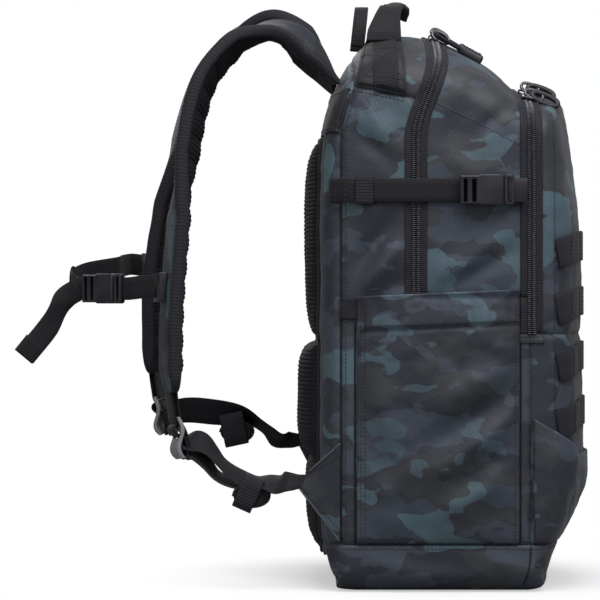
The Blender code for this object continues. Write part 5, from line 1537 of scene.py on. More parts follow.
@dataclass
class BackPads(Assembly):
    """Ribbed spacer-mesh pads on the back, the yoke band above them and the wings at the foot."""

    half_width: float = 0.118
    upper: Pair = (0.214, 0.386)
    upper_depth: float = 0.0135
    lumbar: Pair = (0.033, 0.2115)
    split_z: float = 0.112
    lumbar_depth: float = 0.0205
    lower_depth: float = 0.0125
    channel: float = 0.017
    rib_pitch: float = 0.0037
    rib_rise: float = 0.001
    edge_cord: float = 0.0022
    yoke: Pair = (0.39, 0.428)
    yoke_thickness: float = 0.002
    right_wing_rise: float = 0.022
    wing_grid: tuple[int, int] = (30, 26)

    def build(self) -> None:
        """Make the pads, yoke and wings."""
        self.pad("upper_back_pad", self.upper, self.upper_form)
        self.pad("lumbar_pad", self.lumbar, self.lumbar_form)
        self.band()
        for side, tag in SIDES:
            self.wing(side, tag)

    @staticmethod
    def cushion(u: Array, v: Array) -> Array:
        """Crown of a pad: full in the middle, thin at its edges."""
        return (1 - np.abs(u) ** 5) * (1 - np.abs(v) ** 6)

    def upper_form(self, u: Array, z: Array) -> Array:
        """Depth of the upper pad with its air channel down the middle."""
        low, high = self.upper
        v = (z - low) / (high - low) * 2 - 1
        dent = 1 - 0.62 * np.exp(-(u * self.half_width / self.channel) ** 4)
        return self.upper_depth * (0.32 + 0.68 * self.cushion(u, v)) * dent

    def lumbar_form(self, u: Array, z: Array) -> Array:
        """Depth of the lumbar pad: a full upper half and a thinner lower one, with a groove between."""
        low, high = self.lumbar
        top = z >= self.split_z
        foot, head = np.where(top, self.split_z, low), np.where(top, high, self.split_z)
        v = np.clip((z - foot) / (head - foot) * 2 - 1, -1, 1)
        return np.where(top, self.lumbar_depth, self.lower_depth) * (0.34 + 0.66 * self.cushion(u, v))

    def pad(self, node: str, span: Pair, form: Callable[[Array, Array], Array]) -> None:
        """One pad with sewn ribs across it and a bound edge.

        Args:
            node: the solid it replaces.
            span: its lowest and highest point.
            form: its depth at (u, z).
        """
        zs = np.linspace(*span, int((span[1] - span[0]) / (self.rib_pitch / 5)))
        us = np.sin(np.linspace(-math.pi / 2, math.pi / 2, 62))
        coarse = np.linspace(*span, 24)
        behind = np.array([[self.skin.back(u * self.half_width, z)[0][0] for u in us] for z in coarse])
        across, up = np.meshgrid(us, zs)
        base = np.stack([columns_at(zs, coarse, behind) - 0.0009, across * self.half_width, up], axis=-1)
        ends = np.minimum(up - span[0], span[1] - up)
        wave = np.abs(np.sin(math.pi * (up - span[0]) / self.rib_pitch)) ** 0.7
        fade = np.clip((1 - np.abs(across)) / 0.015, 0, 1) * np.clip(ends / 0.004, 0, 1)
        deep = form(across, up) + self.rib_rise * (wave - 0.55) * fade
        deep = deep * np.sqrt(np.clip(1 - np.clip((np.abs(across) - 0.93) / 0.07, 0, 1) ** 2, 0.02, 1))
        deep = deep * np.sqrt(np.clip(1 - np.clip(1 - ends / 0.006, 0, 1) ** 2, 0.03, 1))
        pad = sheet_between(f"{node}_mesh", base - AHEAD * deep[..., None], base, self.palette.mesh)
        dress(pad, Body.PACK, Slot.MESH, node)
        ring = looped(around_edge(base) - AHEAD * 0.0016, 0.004)[:-1]
        bound = tube(f"{node}_binding", ring, self.edge_cord, self.palette.binding, 8, closed=True)
        dress(bound, Body.PACK, Slot.WEBBING)

    def band(self) -> None:
        """The yoke band that the shoulder straps are sewn under."""
        zs = np.linspace(*self.yoke, 20)
        rows = [self.around(z) for z in zs]
        base, outs = (np.stack([row[k] for row in rows]) for k in (0, 1))
        uv = np.meshgrid(zs, np.linspace(0, 0.3, base.shape[1]), indexing="ij")
        band = sheet_between("shoulder_yoke_band", base + outs * self.yoke_thickness, base - outs * 0.0008,
                             self.palette.binding, uv)
        dress(band, Body.PACK, Slot.WEBBING, "shoulder_yoke")
        for z in (self.yoke[0] + 0.004, self.yoke[1] - 0.004):
            places, outs = (line[3:-3] for line in self.around(z))
            self.sewing.add(Body.PACK, places + outs * 0.0022, outs)

    def around(self, z: float) -> Run:
        """A level line round the back from one side seam to the other, and its outward directions."""
        edge_x = self.skin.seams.back(z) - 0.001
        line = spaced(np.hstack(self.skin.level(lambda angle: z, edge_x, 420, -1)), 0.0033)
        grid = columns_at(np.linspace(0, 1, 92), np.linspace(0, 1, len(line)), line)
        return grid[:, :3], Skin.evened(grid[:, 3:])

    def wing(self, side: int, tag: str) -> None:
        """The sewn triangle that carries the lower webbing.

        Args:
            side: -1 left, 1 right.
            tag: left or right.
        """
        rise = self.right_wing_rise if side > 0 else 0.0
        seam = np.array([(-0.085, 0.043), (-0.0846, 0.126 + 0.4 * rise)])
        apex = np.array([(-0.119, 0.0875 + rise), (-0.111, 0.1025 + rise)])
        t, s = np.meshgrid(*(np.linspace(0, 1, count) for count in self.wing_grid))
        low, high = (seam[k] + (apex[k] - seam[k]) * t[..., None] for k in (0, 1))
        x, z = np.moveaxis(low + s[..., None] * (high - low), -1, 0)
        level = abs(self.skin.patch((-0.082, 0.085), side)[0][1]) + 0.0019
        here = np.abs(self.skin.patch(np.stack([np.maximum(x, -0.09), z], axis=-1), side)[0][..., 1]) + 0.0014
        fold = 0.0016 * np.sin(math.pi * s) * t * np.cos(2.2 * s + t)
        grid = np.stack([x, side * (here + (level - 0.003 * t - here) * eased(t / 0.45) + fold), z], axis=-1)
        outer, inner = grid + ACROSS * side * 0.0012, grid - ACROSS * side * 0.0008
        # Painted shade: shade=0.6 darkens the wing's cloth for the shade of the fold it lies in.
        cloth = self.palette.camouflage(f"strap_wing_{tag}", (0.77, 0.5 + 0.3 * side, 0.55), shade=0.6,
                                        roughness=0.66)
        parts = [sheet_between("wing", outer, inner, cloth)]
        parts += [tube("edge", outer[k], 0.0008, self.palette.piping, 8) for k in (0, -1)]
        dress(joined(f"strap_wing_{tag}_cloth", parts), Body.PACK, Slot.CAMO, f"strap_wing_{tag}")
        for k in (3, -4):
            self.sewing.add(Body.PACK, outer[k] + ACROSS * side * 0.0003, ACROSS * side)


@dataclass
class ShoulderStrap(Assembly):
    """One padded strap: cloth outside, ribbed mesh under, bound edges, a webbing end and its ladder lock."""

    side: int
    tag: str
    width_top: float = 0.066
    width_low: float = 0.046
    width_end: float = 0.025
    thickness: float = 0.014
    end_thickness: float = 0.005
    pad_end: float = 0.955     # shares of the length: where the padding ends,
    narrowing: float = 0.925   # where its end is rounded off,
    yoke_end: float = 0.085    # and how far the plain cloth of the yoke reaches
    lift: float = 0.02
    lean: float = 0.024
    roll: tuple[Pair, ...] = (                             # (share of length, degrees)
        (0.0, 0.0), (0.05, 8.0), (0.11, 22.0), (0.17, 12.0), (0.26, -9.0), (0.5, -9.0), (0.62, 13.0),
        (1.0, 15.0))
    rib_pitch: float = 0.0042
    puff_pitch: float = 0.021
    bound: float = 0.84        # share of the half width where the binding begins
    webbing: float = 0.025
    lock_gap: float = 0.0004
    lock_length: float = 0.036
    line: tuple[Triple, ...] = (
        (-0.0865, 0.045, 0.44), (-0.103, 0.048, 0.463), (-0.119, 0.053, 0.477), (-0.14, 0.06, 0.484),
        (-0.162, 0.067, 0.479), (-0.182, 0.074, 0.466), (-0.2, 0.081, 0.443), (-0.21, 0.087, 0.414),
        (-0.217, 0.092, 0.375), (-0.223, 0.096, 0.332), (-0.227, 0.099, 0.288), (-0.23, 0.102, 0.245),
        (-0.231, 0.105, 0.205), (-0.23, 0.107, 0.17), (-0.227, 0.108, 0.147))

    def path(self, steps: int = 12) -> Array:
        """The strap's middle line, yoke first; the right strap stands higher and leans out."""
        rows = np.array(self.line)
        if self.side > 0:
            run = np.linspace(0, 1, len(rows))
            lean = np.clip((run - 0.3) / 0.45, 0, 1)
            rows[:, 2] += self.lift * np.clip((run - 0.07) / 0.18, 0, 1) * (1 - 0.4 * lean)
            rows[:, 0] -= self.lean * lean
        return smooth_run(rows * (1, self.side, 1), steps)

    def frames(self, path: Array) -> tuple[Array, Array, Array]:
        """Directions along, across and out of the strap at each row."""
        along = tangents(path)
        outs = np.cross(along, unit(ACROSS - along * along[:, 1:2]))
        outs[outs @ np.array([-0.3, 0.0, 1.0]) < 0] *= -1
        for k in range(1, len(outs)):
            if outs[k].dot(outs[k - 1]) < 0:
                outs[k] *= -1
        shares, degrees = zip(*self.roll)
        for k, angle in enumerate(np.interp(arc(path) / arc(path)[-1], shares, degrees)):
            outward = (turned(outs[k], along[k], 1.0)[1] - outs[k][1]) * self.side
            outs[k] = turned(outs[k], along[k], math.copysign(1.0, outward) * angle)
        return along, np.cross(outs, along), outs

    def foot(self) -> tuple[Array, ...]:
        """The strap's lower end, and the directions along, across and out of it there."""
        path = self.path()
        return path[-1], *(rows[-1] for rows in self.frames(path))

    def build(self) -> None:
        """Make the strap and what hangs from it."""
        path = spaced(self.path(), self.rib_pitch / 5)
        _, across, outs = self.frames(path)
        run = arc(path)
        keep = run / run[-1] <= self.pad_end
        share = (run / run[-1])[keep]
        path, across, outs, run = path[keep], across[keep], outs[keep], run[keep]
        half = 0.5 * (self.width_top + (self.width_low - self.width_top) * share)
        end = np.clip((self.pad_end - share) / 0.03, 0, 1)
        tip = 0.5 * self.width_end
        rounded = tip + (half - tip) * np.sqrt(1 - (1 - end) ** 2)
        half = np.where(share > self.narrowing, rounded, half)[:, None]
        near_end = np.minimum(np.minimum(1.0, share / 0.09), np.clip((self.pad_end - share) / 0.05, 0, 1))
        thick = self.end_thickness + (self.thickness - self.end_thickness) * near_end ** 0.6
        edge = [0.86, 0.9, 0.95, 0.985, 1.0]
        u = np.concatenate([[-v for v in reversed(edge)], np.linspace(-0.8, 0.8, 15), edge])
        beyond = np.clip((np.abs(u) - self.bound) / (1 - self.bound), 0, 1)
        form = (0.5 * thick[:, None] * (0.3 + 0.7 * np.sqrt(np.clip(1 - u ** 4, 0, 1)))
                + 0.0009 * np.sin(math.pi * beyond) - 0.0011 * np.exp(-((np.abs(u) - 0.83) / 0.025) ** 2))
        bulk = np.clip(share / 0.1, 0, 1) * np.clip((0.95 - share) / 0.05, 0, 1)
        ribs = 0.0007 * (np.abs(np.sin(math.pi * run / self.rib_pitch)) ** 0.7 - 0.4)
        ribs = (ribs + 0.0016 * np.abs(np.sin(math.pi * run / self.puff_pitch)) ** 0.8) * bulk
        over = form + (0.0006 * unevenness(path * 30.0, 2) * bulk)[:, None]
        under = form + ribs[:, None] * np.clip((0.82 - np.abs(u)) / 0.08, 0, 1)
        middle = path[:, None] + across[:, None] * (half * u)[..., None]
        top = middle + outs[:, None] * over[..., None]
        low = middle - outs[:, None] * under[..., None]
        ring_u = np.concatenate([u, u[-2:0:-1]])
        rows, size = len(path), len(ring_u)
        upper = np.arange(size) < len(u)
        outside = np.where(share[:-1, None] < self.yoke_end, 3, 0)
        kinds = np.where(np.abs(ring_u + np.roll(ring_u, -1)) / 2 > self.bound + 0.005, 1,
                         np.where(upper & np.roll(upper, -1), outside, 2))
        # Painted shade: shade=0.72 darkens the strap's cloth, whose face is turned away from the light.
        cloth = self.palette.camouflage(f"shoulder_strap_{self.tag}", (0.36, 0.15 + 0.25 * self.side, 0.9),
                                        shade=0.72, sheen=0.0, roughness=0.66)
        strap = facing_out(mesh_object(
            f"shoulder_strap_{self.tag}_pad", np.concatenate([top, low[:, -2:0:-1]], axis=1).reshape(-1, 3),
            hoops(rows, size), [cloth, self.palette.binding, self.palette.mesh, self.palette.black_cloth],
            np.stack([(half * ring_u).ravel(), np.repeat(run, size)], axis=1), [*kinds.ravel(), 1, 1]))
        dress(strap, Body.HARNESS, Slot.CAMO, f"shoulder_strap_{self.tag}")
        sewn = np.flatnonzero((share > 0.02) & (share < 0.93))[::4]
        for column in (5, -6):
            self.sewing.add(Body.HARNESS, top[sewn, column] + outs[sewn] * 0.0004, outs[sewn])
        self.end()

    def end(self) -> None:
        """The webbing loop at the strap's foot, and the ladder lock on it."""
        path = spaced(self.path(), 0.0015)
        along, across, outs = self.frames(path)
        share = arc(path) / arc(path)[-1]
        sewn, under = share >= 0.905, share >= 0.945
        over = 0.0024 + 0.0022 * np.clip((self.pad_end - share[sewn]) / 0.03, 0, 1)
        upper = path[sewn] + outs[sewn] * over[:, None]
        turn = [path[-1] + along[-1] * a + outs[-1] * b
                for a, b in ((0.0012, 0.0024), (0.005, 0.0012), (0.0052, -0.001), (0.0012, -0.0024))]
        lower = (path[under] - outs[under] * 0.0024)[::-1]
        line = spaced(smooth_run(np.vstack([upper[::3], turn, lower[::3]]), 4), 0.0012)
        loop = ribbon(f"strap_end_{self.tag}", line, rolled(line, across[-1]), self.webbing, 0.0014,
                      self.palette.webbing)
        dress(loop, Body.HARNESS, Slot.WEBBING)
        lock = f"ladder_lock_{self.tag}"
        moulded(lock, f"{lock}_moulding", 0.0006, self.palette.grey_acetal, lock, Slot.GREY)


Route = tuple[tuple[float, float, float, float], ...]     # rows of (x, y, z, roll), as on the right side


@dataclass
class LowerWebbing(Assembly):
    """The adjusting webbing from a ladder lock to its wing, and the rolled-up tail held in elastic."""

    strap: ShoulderStrap
    route: Route
    second: Route
    apex_z: float
    roll_centre: Triple
    elastic: Pair                           # its width, and its tilt in degrees
    width: float = 0.025
    thickness: float = 0.0014
    apex_x: float = -0.117
    apex_y: float = 0.1459
    into_wing: tuple[Pair, ...] = ((0.013, 56.0), (0.004, 72.0), (-0.012, 82.0))
    turns: float = 5.5
    roll_half: Pair = (0.016, 0.0105)
    round_bar: tuple[Pair, ...] = (
        (0.037, -0.0048), (0.03, -0.0052), (0.022, -0.005), (0.0172, -0.0032), (0.0146, 0.0018),
        (0.0105, 0.0046), (0.0068, 0.0028), (0.0062, -0.002), (0.0104, -0.005), (0.019, -0.0068),
        (0.03, -0.0082), (0.038, -0.009))

    def build(self) -> None:
        """Make the webbing and the roll."""
        tag = self.strap.tag
        into = [(self.apex_x - short, self.apex_y - 0.0012, self.apex_z, roll)
                for short, roll in self.into_wing]
        layers = [self.layer(route) for route in ((*self.route, *into), self.second) if route]
        self.hung(joined(f"lower_webbing_{tag}_band", layers), f"lower_webbing_{tag}")
        foot, along, across, out = self.strap.foot()
        origin = foot + along * self.strap.lock_gap
        line = spaced(smooth_run([origin + along * a + out * b for a, b in self.round_bar], 6), 0.001)
        item = ribbon(f"lock_webbing_{tag}", line, rolled(line, across), self.width * 0.97, 0.002,
                      self.palette.webbing)
        dress(item, f"ladder_lock_{tag}", Slot.WEBBING)
        self.tail()

    def layer(self, route: Route) -> Mesh:
        """One length of webbing; a roll of 0 lies flat across the pack."""
        run = spaced(smooth_run(np.array(route) * (1, self.strap.side, 1, -self.strap.side), 10), 0.002)
        line = run[:, :3]
        ahead = tangents(line)
        across = unit(ACROSS - ahead * ahead[:, 1:2])
        across = np.array([turned(a, t, r) for a, t, r in zip(across, ahead, run[:, 3])])
        wide = self.width * np.interp(line[:, 0], (self.apex_x - 0.022, self.apex_x - 0.003), (1.0, 0.5))
        return ribbon("layer", line, np.cross(ahead, across), wide, self.thickness, self.palette.webbing)

    def hung(self, item: Mesh, *nodes: str) -> None:
        """Bake a piece's place into its mesh, and hide the nodes it stands for."""
        foot, along, _, _ = self.strap.foot()
        end = foot + along * (2 * self.strap.lock_gap + self.strap.lock_length + self.thickness)
        start = (self.apex_x, self.strap.side * self.apex_y, self.apex_z)
        bent(item, (Body.PACK, Body.HARNESS), (start, end), Slot.WEBBING, *nodes)

    def tail(self) -> None:
        """The spare length, rolled flat and held by an elastic band."""
        tag, centre = self.strap.tag, np.array(self.roll_centre)
        share = np.linspace(0, 1, 330)
        angle = 2 * math.pi * (2.5 - self.turns * (1 - share))
        x = self.roll_half[0] * (0.52 + 0.48 * share) * np.cos(angle)
        z = self.roll_half[1] * (0.1 + 0.9 * share) * np.sin(angle)
        line = centre + np.stack([x, np.zeros_like(x), z], axis=1)
        self.hung(ribbon(f"tail_roll_{tag}_band", line, rolled(line, ACROSS), self.width, 0.0018,
                         self.palette.webbing), f"tail_roll_{tag}")
        wide, tilt = self.elastic
        high = turned(UP, ACROSS, tilt) * 0.015
        ring = oval(centre + (-0.003, 0.0, 0.0025), ACROSS * 0.0148, high, 48, (0.4, 0.5))
        ring = looped(ring, 0.0012)
        self.hung(ribbon(f"roll_elastic_{tag}", ring, rolled(ring, turned(AHEAD, ACROSS, tilt)), wide, 0.0011,
                         self.palette.elastic))


@dataclass
class ChestStrap(Assembly):
    """Chest strap: a clip on each shoulder strap, two webbing halves, a buckle and a loose tail."""

    straps: dict[str, ShoulderStrap]
    rear: Triple = (-0.309, -0.046, 0.258)
    turn: float = 39.0
    length: float = 0.0454
    ladder: float = 0.0155
    buckle_thickness: float = 0.0085
    width: float = 0.02
    thickness: float = 0.0014
    clip_thickness: float = 0.0055
    clip_lead: float = 0.007
    gap: float = 0.0004

    def build(self) -> None:
        """Make the chest strap."""
        rear = np.array(self.rear)
        ahead = np.array([math.cos(math.radians(self.turn)), -math.sin(math.radians(self.turn)), 0.0])
        up = np.array([ahead[1], -ahead[0], 0.0])
        for _, tag in SIDES:
            moulded(f"sternum_slider_{tag}", f"sternum_slider_{tag}_moulding", 0.0007, self.palette.acetal,
                    Body.CHEST, Slot.PLASTIC)
        near, _ = self.clip("left")
        finish = rear + ahead * (self.length + self.gap)
        before = finish + ahead * 0.007
        left = self.band("sternum_webbing_left_band", near, 0.5 * (near + before) + up * 0.002, before,
                         finish)
        bent(left, (Body.CHEST, Body.PLUG), (near, finish), Slot.WEBBING, "sternum_webbing_left")
        far, out = self.clip("right")
        under = -up * (0.5 * self.buckle_thickness + self.gap + 0.5 * self.thickness)
        leave = rear - ahead * 0.008 + under
        across = 0.5 * (far + rear) + (0.002, 0.022, 0.0)
        across[2] = far[2] - 0.003
        turning = far + out * 1.5 * self.clip_lead
        bend = turning + 0.14 * (across - turning)
        right = self.band(
            "right_half", rear + ahead * (self.ladder - 0.002) + under, rear + ahead * 0.004 + under, leave,
            leave - ahead * 0.009 + (0.001, 0.004, 0.001), rear + (-0.014, 0.036, 0.007),
            rear + (-0.003, 0.066, 0.014), across, 0.5 * (across + bend) - AHEAD * 0.002, bend,
            far + out * self.clip_lead, far)
        root = leave - ahead * 0.004
        tip = rear + (-0.053, -0.004, -0.06)
        tail = self.band("tail", root, root + (-0.014, 0.0, -0.01), 0.45 * root + 0.55 * tip, tip)
        hem = self.band("tail_hem", 0.78 * tip + 0.22 * root + up * 0.0016, tip + up * 0.0016)
        dress(joined("sternum_webbing_right_band", [right, tail, hem]), Body.CHEST, Slot.WEBBING,
              "sternum_webbing_right")
        for half, name, body in (("female", "socket", Body.CHEST), ("male", "plug", Body.PLUG)):
            moulded(f"sternum_buckle_{half}", f"sternum_{name}_moulding", 0.0006, self.palette.acetal, body,
                    Slot.PLASTIC)
        ring = oval(rear + (-0.0135, 0.04, 0.0078), (0.0024, 0.0006, 0.0), UP * 0.0118, 40)
        dress(tube("chest_keeper", ring, 0.0011, self.palette.elastic, 8, closed=True), Body.CHEST,
              Slot.WEBBING)

    def clip(self, tag: str) -> Run:
        """Where the webbing is held by the clip on a shoulder strap, and the direction out of that strap."""
        strap = self.straps[tag]
        low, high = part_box(f"sternum_slider_{tag}")
        path = strap.path(24)
        lower = np.arange(len(path)) > len(path) // 3
        k = int(np.argmin(np.where(lower, np.abs(path[:, 2] - 0.5 * (low.z + high.z)), 9.0)))
        out = strap.frames(path)[2][k]
        lean = 0.5 * self.width * abs(out[2]) + 0.5 * self.thickness
        return path[k] + out * (0.5 * strap.thickness + 0.0009 + self.clip_thickness + self.gap + lean), out

    def band(self, name: str, *points: Array) -> Mesh:
        """Upright webbing through points."""
        line = spaced(smooth_run(points, 10), 0.0018)
        return ribbon(name, line, rolled(line, UP), self.width, self.thickness, self.palette.webbing)


@dataclass
class Compression(Assembly):
    """Compression strap on one side: webbing, elastic keeper and a side-release buckle."""

    side: int
    tag: str
    z: float = 0.341
    width: float = 0.02
    thickness: float = 0.0014
    start_x: float = -0.094
    end_x: float = 0.03
    standing: float = 0.1565
    bend_x: float = -0.078
    keeper_x: float = -0.0645
    keeper_length: float = 0.015
    plug: Pair = (0.053, 0.068)
    plug_standing: float = 0.16
    tack_half: float = 0.0085

    def build(self) -> None:
        """Make the strap, its keeper and its buckle."""
        xs = np.linspace(self.start_x, self.end_x, 64)
        low = self.cloth(xs) + 0.0014
        ease = np.maximum(0.0, (self.bend_x - xs) / (self.bend_x - self.start_x))
        name = f"compression_webbing_{self.tag}"
        self.band(f"{name}_band", xs, np.maximum(low, self.standing + (low - self.standing) * ease),
                  (-0.0915, -0.0885, -0.081), Body.PACK, name)
        middle = np.array([self.keeper_x, self.side * self.standing, self.z])
        ring = looped(oval(middle, ACROSS * 0.0019, UP * 0.0116, 56, (0.4, 0.4)), 0.0007)
        keeper = f"keeper_{self.tag}"
        dress(ribbon(f"{keeper}_elastic", ring, rolled(ring, AHEAD), self.keeper_length, 0.0011,
                     self.palette.elastic), keeper, Slot.WEBBING, keeper)
        for half, body in (("female", f"compression_socket_{self.tag}"), ("male", Body.MAIN_LID)):
            node = f"compression_buckle_{half}_{self.tag}"
            moulded(node, f"{node}_moulding", 0.0006, self.palette.acetal, body, Slot.PLASTIC)
        xs = np.linspace(*self.plug, 16)
        low = self.cloth(xs) + 0.0012
        ease = np.clip((0.06 - xs) / 0.007, 0, 1)
        self.band(f"plug_webbing_{self.tag}", xs, low + (np.maximum(low, self.plug_standing) - low) * ease,
                  (0.0635, 0.0665), Body.MAIN_LID)

    def cloth(self, xs: Array) -> Array:
        """How far out the cloth lies along the strap."""
        return np.abs(self.skin.patch(np.stack([xs, np.full_like(xs, self.z)], axis=-1), self.side)[0][:, 1])

    def band(self, name: str, xs: Array, ys: Array, tacks: Sequence[float], body: Body, *nodes: str) -> None:
        """Level webbing on the side, with bar tacks across it.

        Args:
            name: the piece's name.
            xs: where it runs.
            ys: how far out it lies there.
            tacks: where it is sewn down.
            body: the body it moves with.
            nodes: solids that it replaces.
        """
        line = np.stack([xs, self.side * ys, np.full_like(xs, self.z)], axis=1)
        out = ACROSS * self.side
        item = ribbon(name, line, out, self.width, self.thickness, self.palette.webbing)
        dress(item, body, Slot.WEBBING, *nodes)
        for x in tacks:
            middle = np.array([x, self.side * (np.interp(x, xs, ys) + 0.0009), self.z])
            self.sewing.add(body, middle + np.outer(np.linspace(-self.tack_half, self.tack_half, 9), UP), out)


@dataclass
class FrontWebbing(Assembly):
    """Four rows of webbing across the front, sewn down in loops."""

    top: float = 0.3065
    pitch: float = 0.0482
    width: float = 0.0254
    thickness: float = 0.0013
    start_x: float = 0.0985
    loop: float = 0.038
    bulge: float = 0.0009
    lift: float = 0.002        # how far the rows are pulled up in the middle
    droop: float = 0.009       # how far they run down round the corners
    bar_half: float = 0.0105
    bar_gap: float = 0.0012    # two bars of stitches, this far either side of each loop's end

    def build(self) -> None:
        """Make the rows and the bars of stitches between their loops."""
        bar = np.outer(np.linspace(-self.bar_half, self.bar_half, 12), UP)
        for row in range(4):
            middle = self.top - self.pitch * row - 0.5 * self.width + self.lift
            places, outs = self.skin.level(
                lambda a: middle - self.droop * np.clip((abs(a) - 0.6) / 0.5, 0, 1) ** 2, self.start_x, 420)
            line = spaced(np.hstack([places, Skin.evened(outs)]), 0.002)
            run = arc(line[:, :3])
            ways = unit(line[:, 3:] * (1.0, 1.0, 0.0))
            rise = self.bulge * np.sin(math.pi * ((run - 0.5 * run[-1]) / self.loop + 0.5)) ** 2
            centre = line[:, :3] + ways * (0.0008 + rise)[:, None]
            name = f"molle_strip_{row + 1}"
            body = Body.FRONT_LID if row < 2 else Body.PACK
            # The rows take the lighter webbing: painted light where they face the lamps.
            item = ribbon(f"{name}_band", centre, ways, self.width, self.thickness,
                          self.palette.front_webbing)
            dress(item, body, Slot.WEBBING, name)
            for at in (0.5 * run[-1] + (k - 0.5) * self.loop for k in range(-6, 7)):
                if 0.003 < at < run[-1] - 0.003:
                    way = unit(columns_at(at, run, ways))
                    for aside in (-self.bar_gap, self.bar_gap):
                        self.sewing.add(body, columns_at(at + aside, run, centre) + way * 0.001 + bar, way)


@dataclass
class LowerFrontFlap(Assembly):
    """A loose layer folded over the lower front: its upper edge falls from each side seam to the front."""

    side_x: float = 0.079
    low_z: float = 0.0424
    seam_z: float = 0.1475
    front_z: float = 0.116
    corner: float = 0.052      # distance along the cloth in which the edge falls
    rise: float = 0.0046
    wall: float = 0.0018

    def build(self) -> None:
        """Make the flap."""
        run = arc(self.level(0.1, np.linspace(0, 1, 150)))
        inward = np.minimum(run, run[-1] - run)
        tops = self.seam_z + (self.front_z - self.seam_z) * np.clip(inward / self.corner, 0, 1)
        rows = np.linspace(0, 1, 44)[:, None]
        heights = np.linspace(self.low_z, self.seam_z, 36)
        levels = np.stack([self.level(z, run / run[-1]) for z in heights], axis=1)
        want = self.low_z + rows * (tops - self.low_z)
        base = np.stack([columns_at(w, heights, column) for w, column in zip(want.T, levels)], axis=1)
        outs = np.array([[self.skin.tree.find_nearest(Vector(p))[1] for p in row] for row in base])
        for _ in range(3):
            outs[:, 1:-1] = unit(outs[:, :-2] + 2 * outs[:, 1:-1] + outs[:, 2:])
        edge = np.clip(inward / 0.014, 0, 1)
        puff = np.sin(math.pi * rows ** 1.4) ** 0.8 * edge
        crease = 0.0016 * np.sin(run * 2 * math.pi / 0.037 + 9 * rows) * puff * (1 - rows)
        lift = 0.0008 + (self.rise + 0.0016 * unevenness(base * 26.0)) * puff + crease
        lift = lift + 0.0008 * np.exp(-((1 - rows) / 0.04) ** 2) * edge
        outer = base + outs * (lift + self.wall)[..., None]
        inner = base + outs * np.minimum(lift, 0.0004 + 0.5 * lift)[..., None]
        cloth = self.palette.camouflage("lower_front_flap", (0.93, 0.12, 0.44))
        dress(sheet_between("lower_front_flap", outer, inner, cloth), Body.PACK, Slot.CAMO)

    def level(self, z: float, shares: Array) -> Array:
        """Places at shares of a level line round the front, from one side seam to the other."""
        line, _ = self.skin.level(lambda angle: z, self.side_x, 300)
        return columns_at(shares, arc(line) / arc(line)[-1], line)


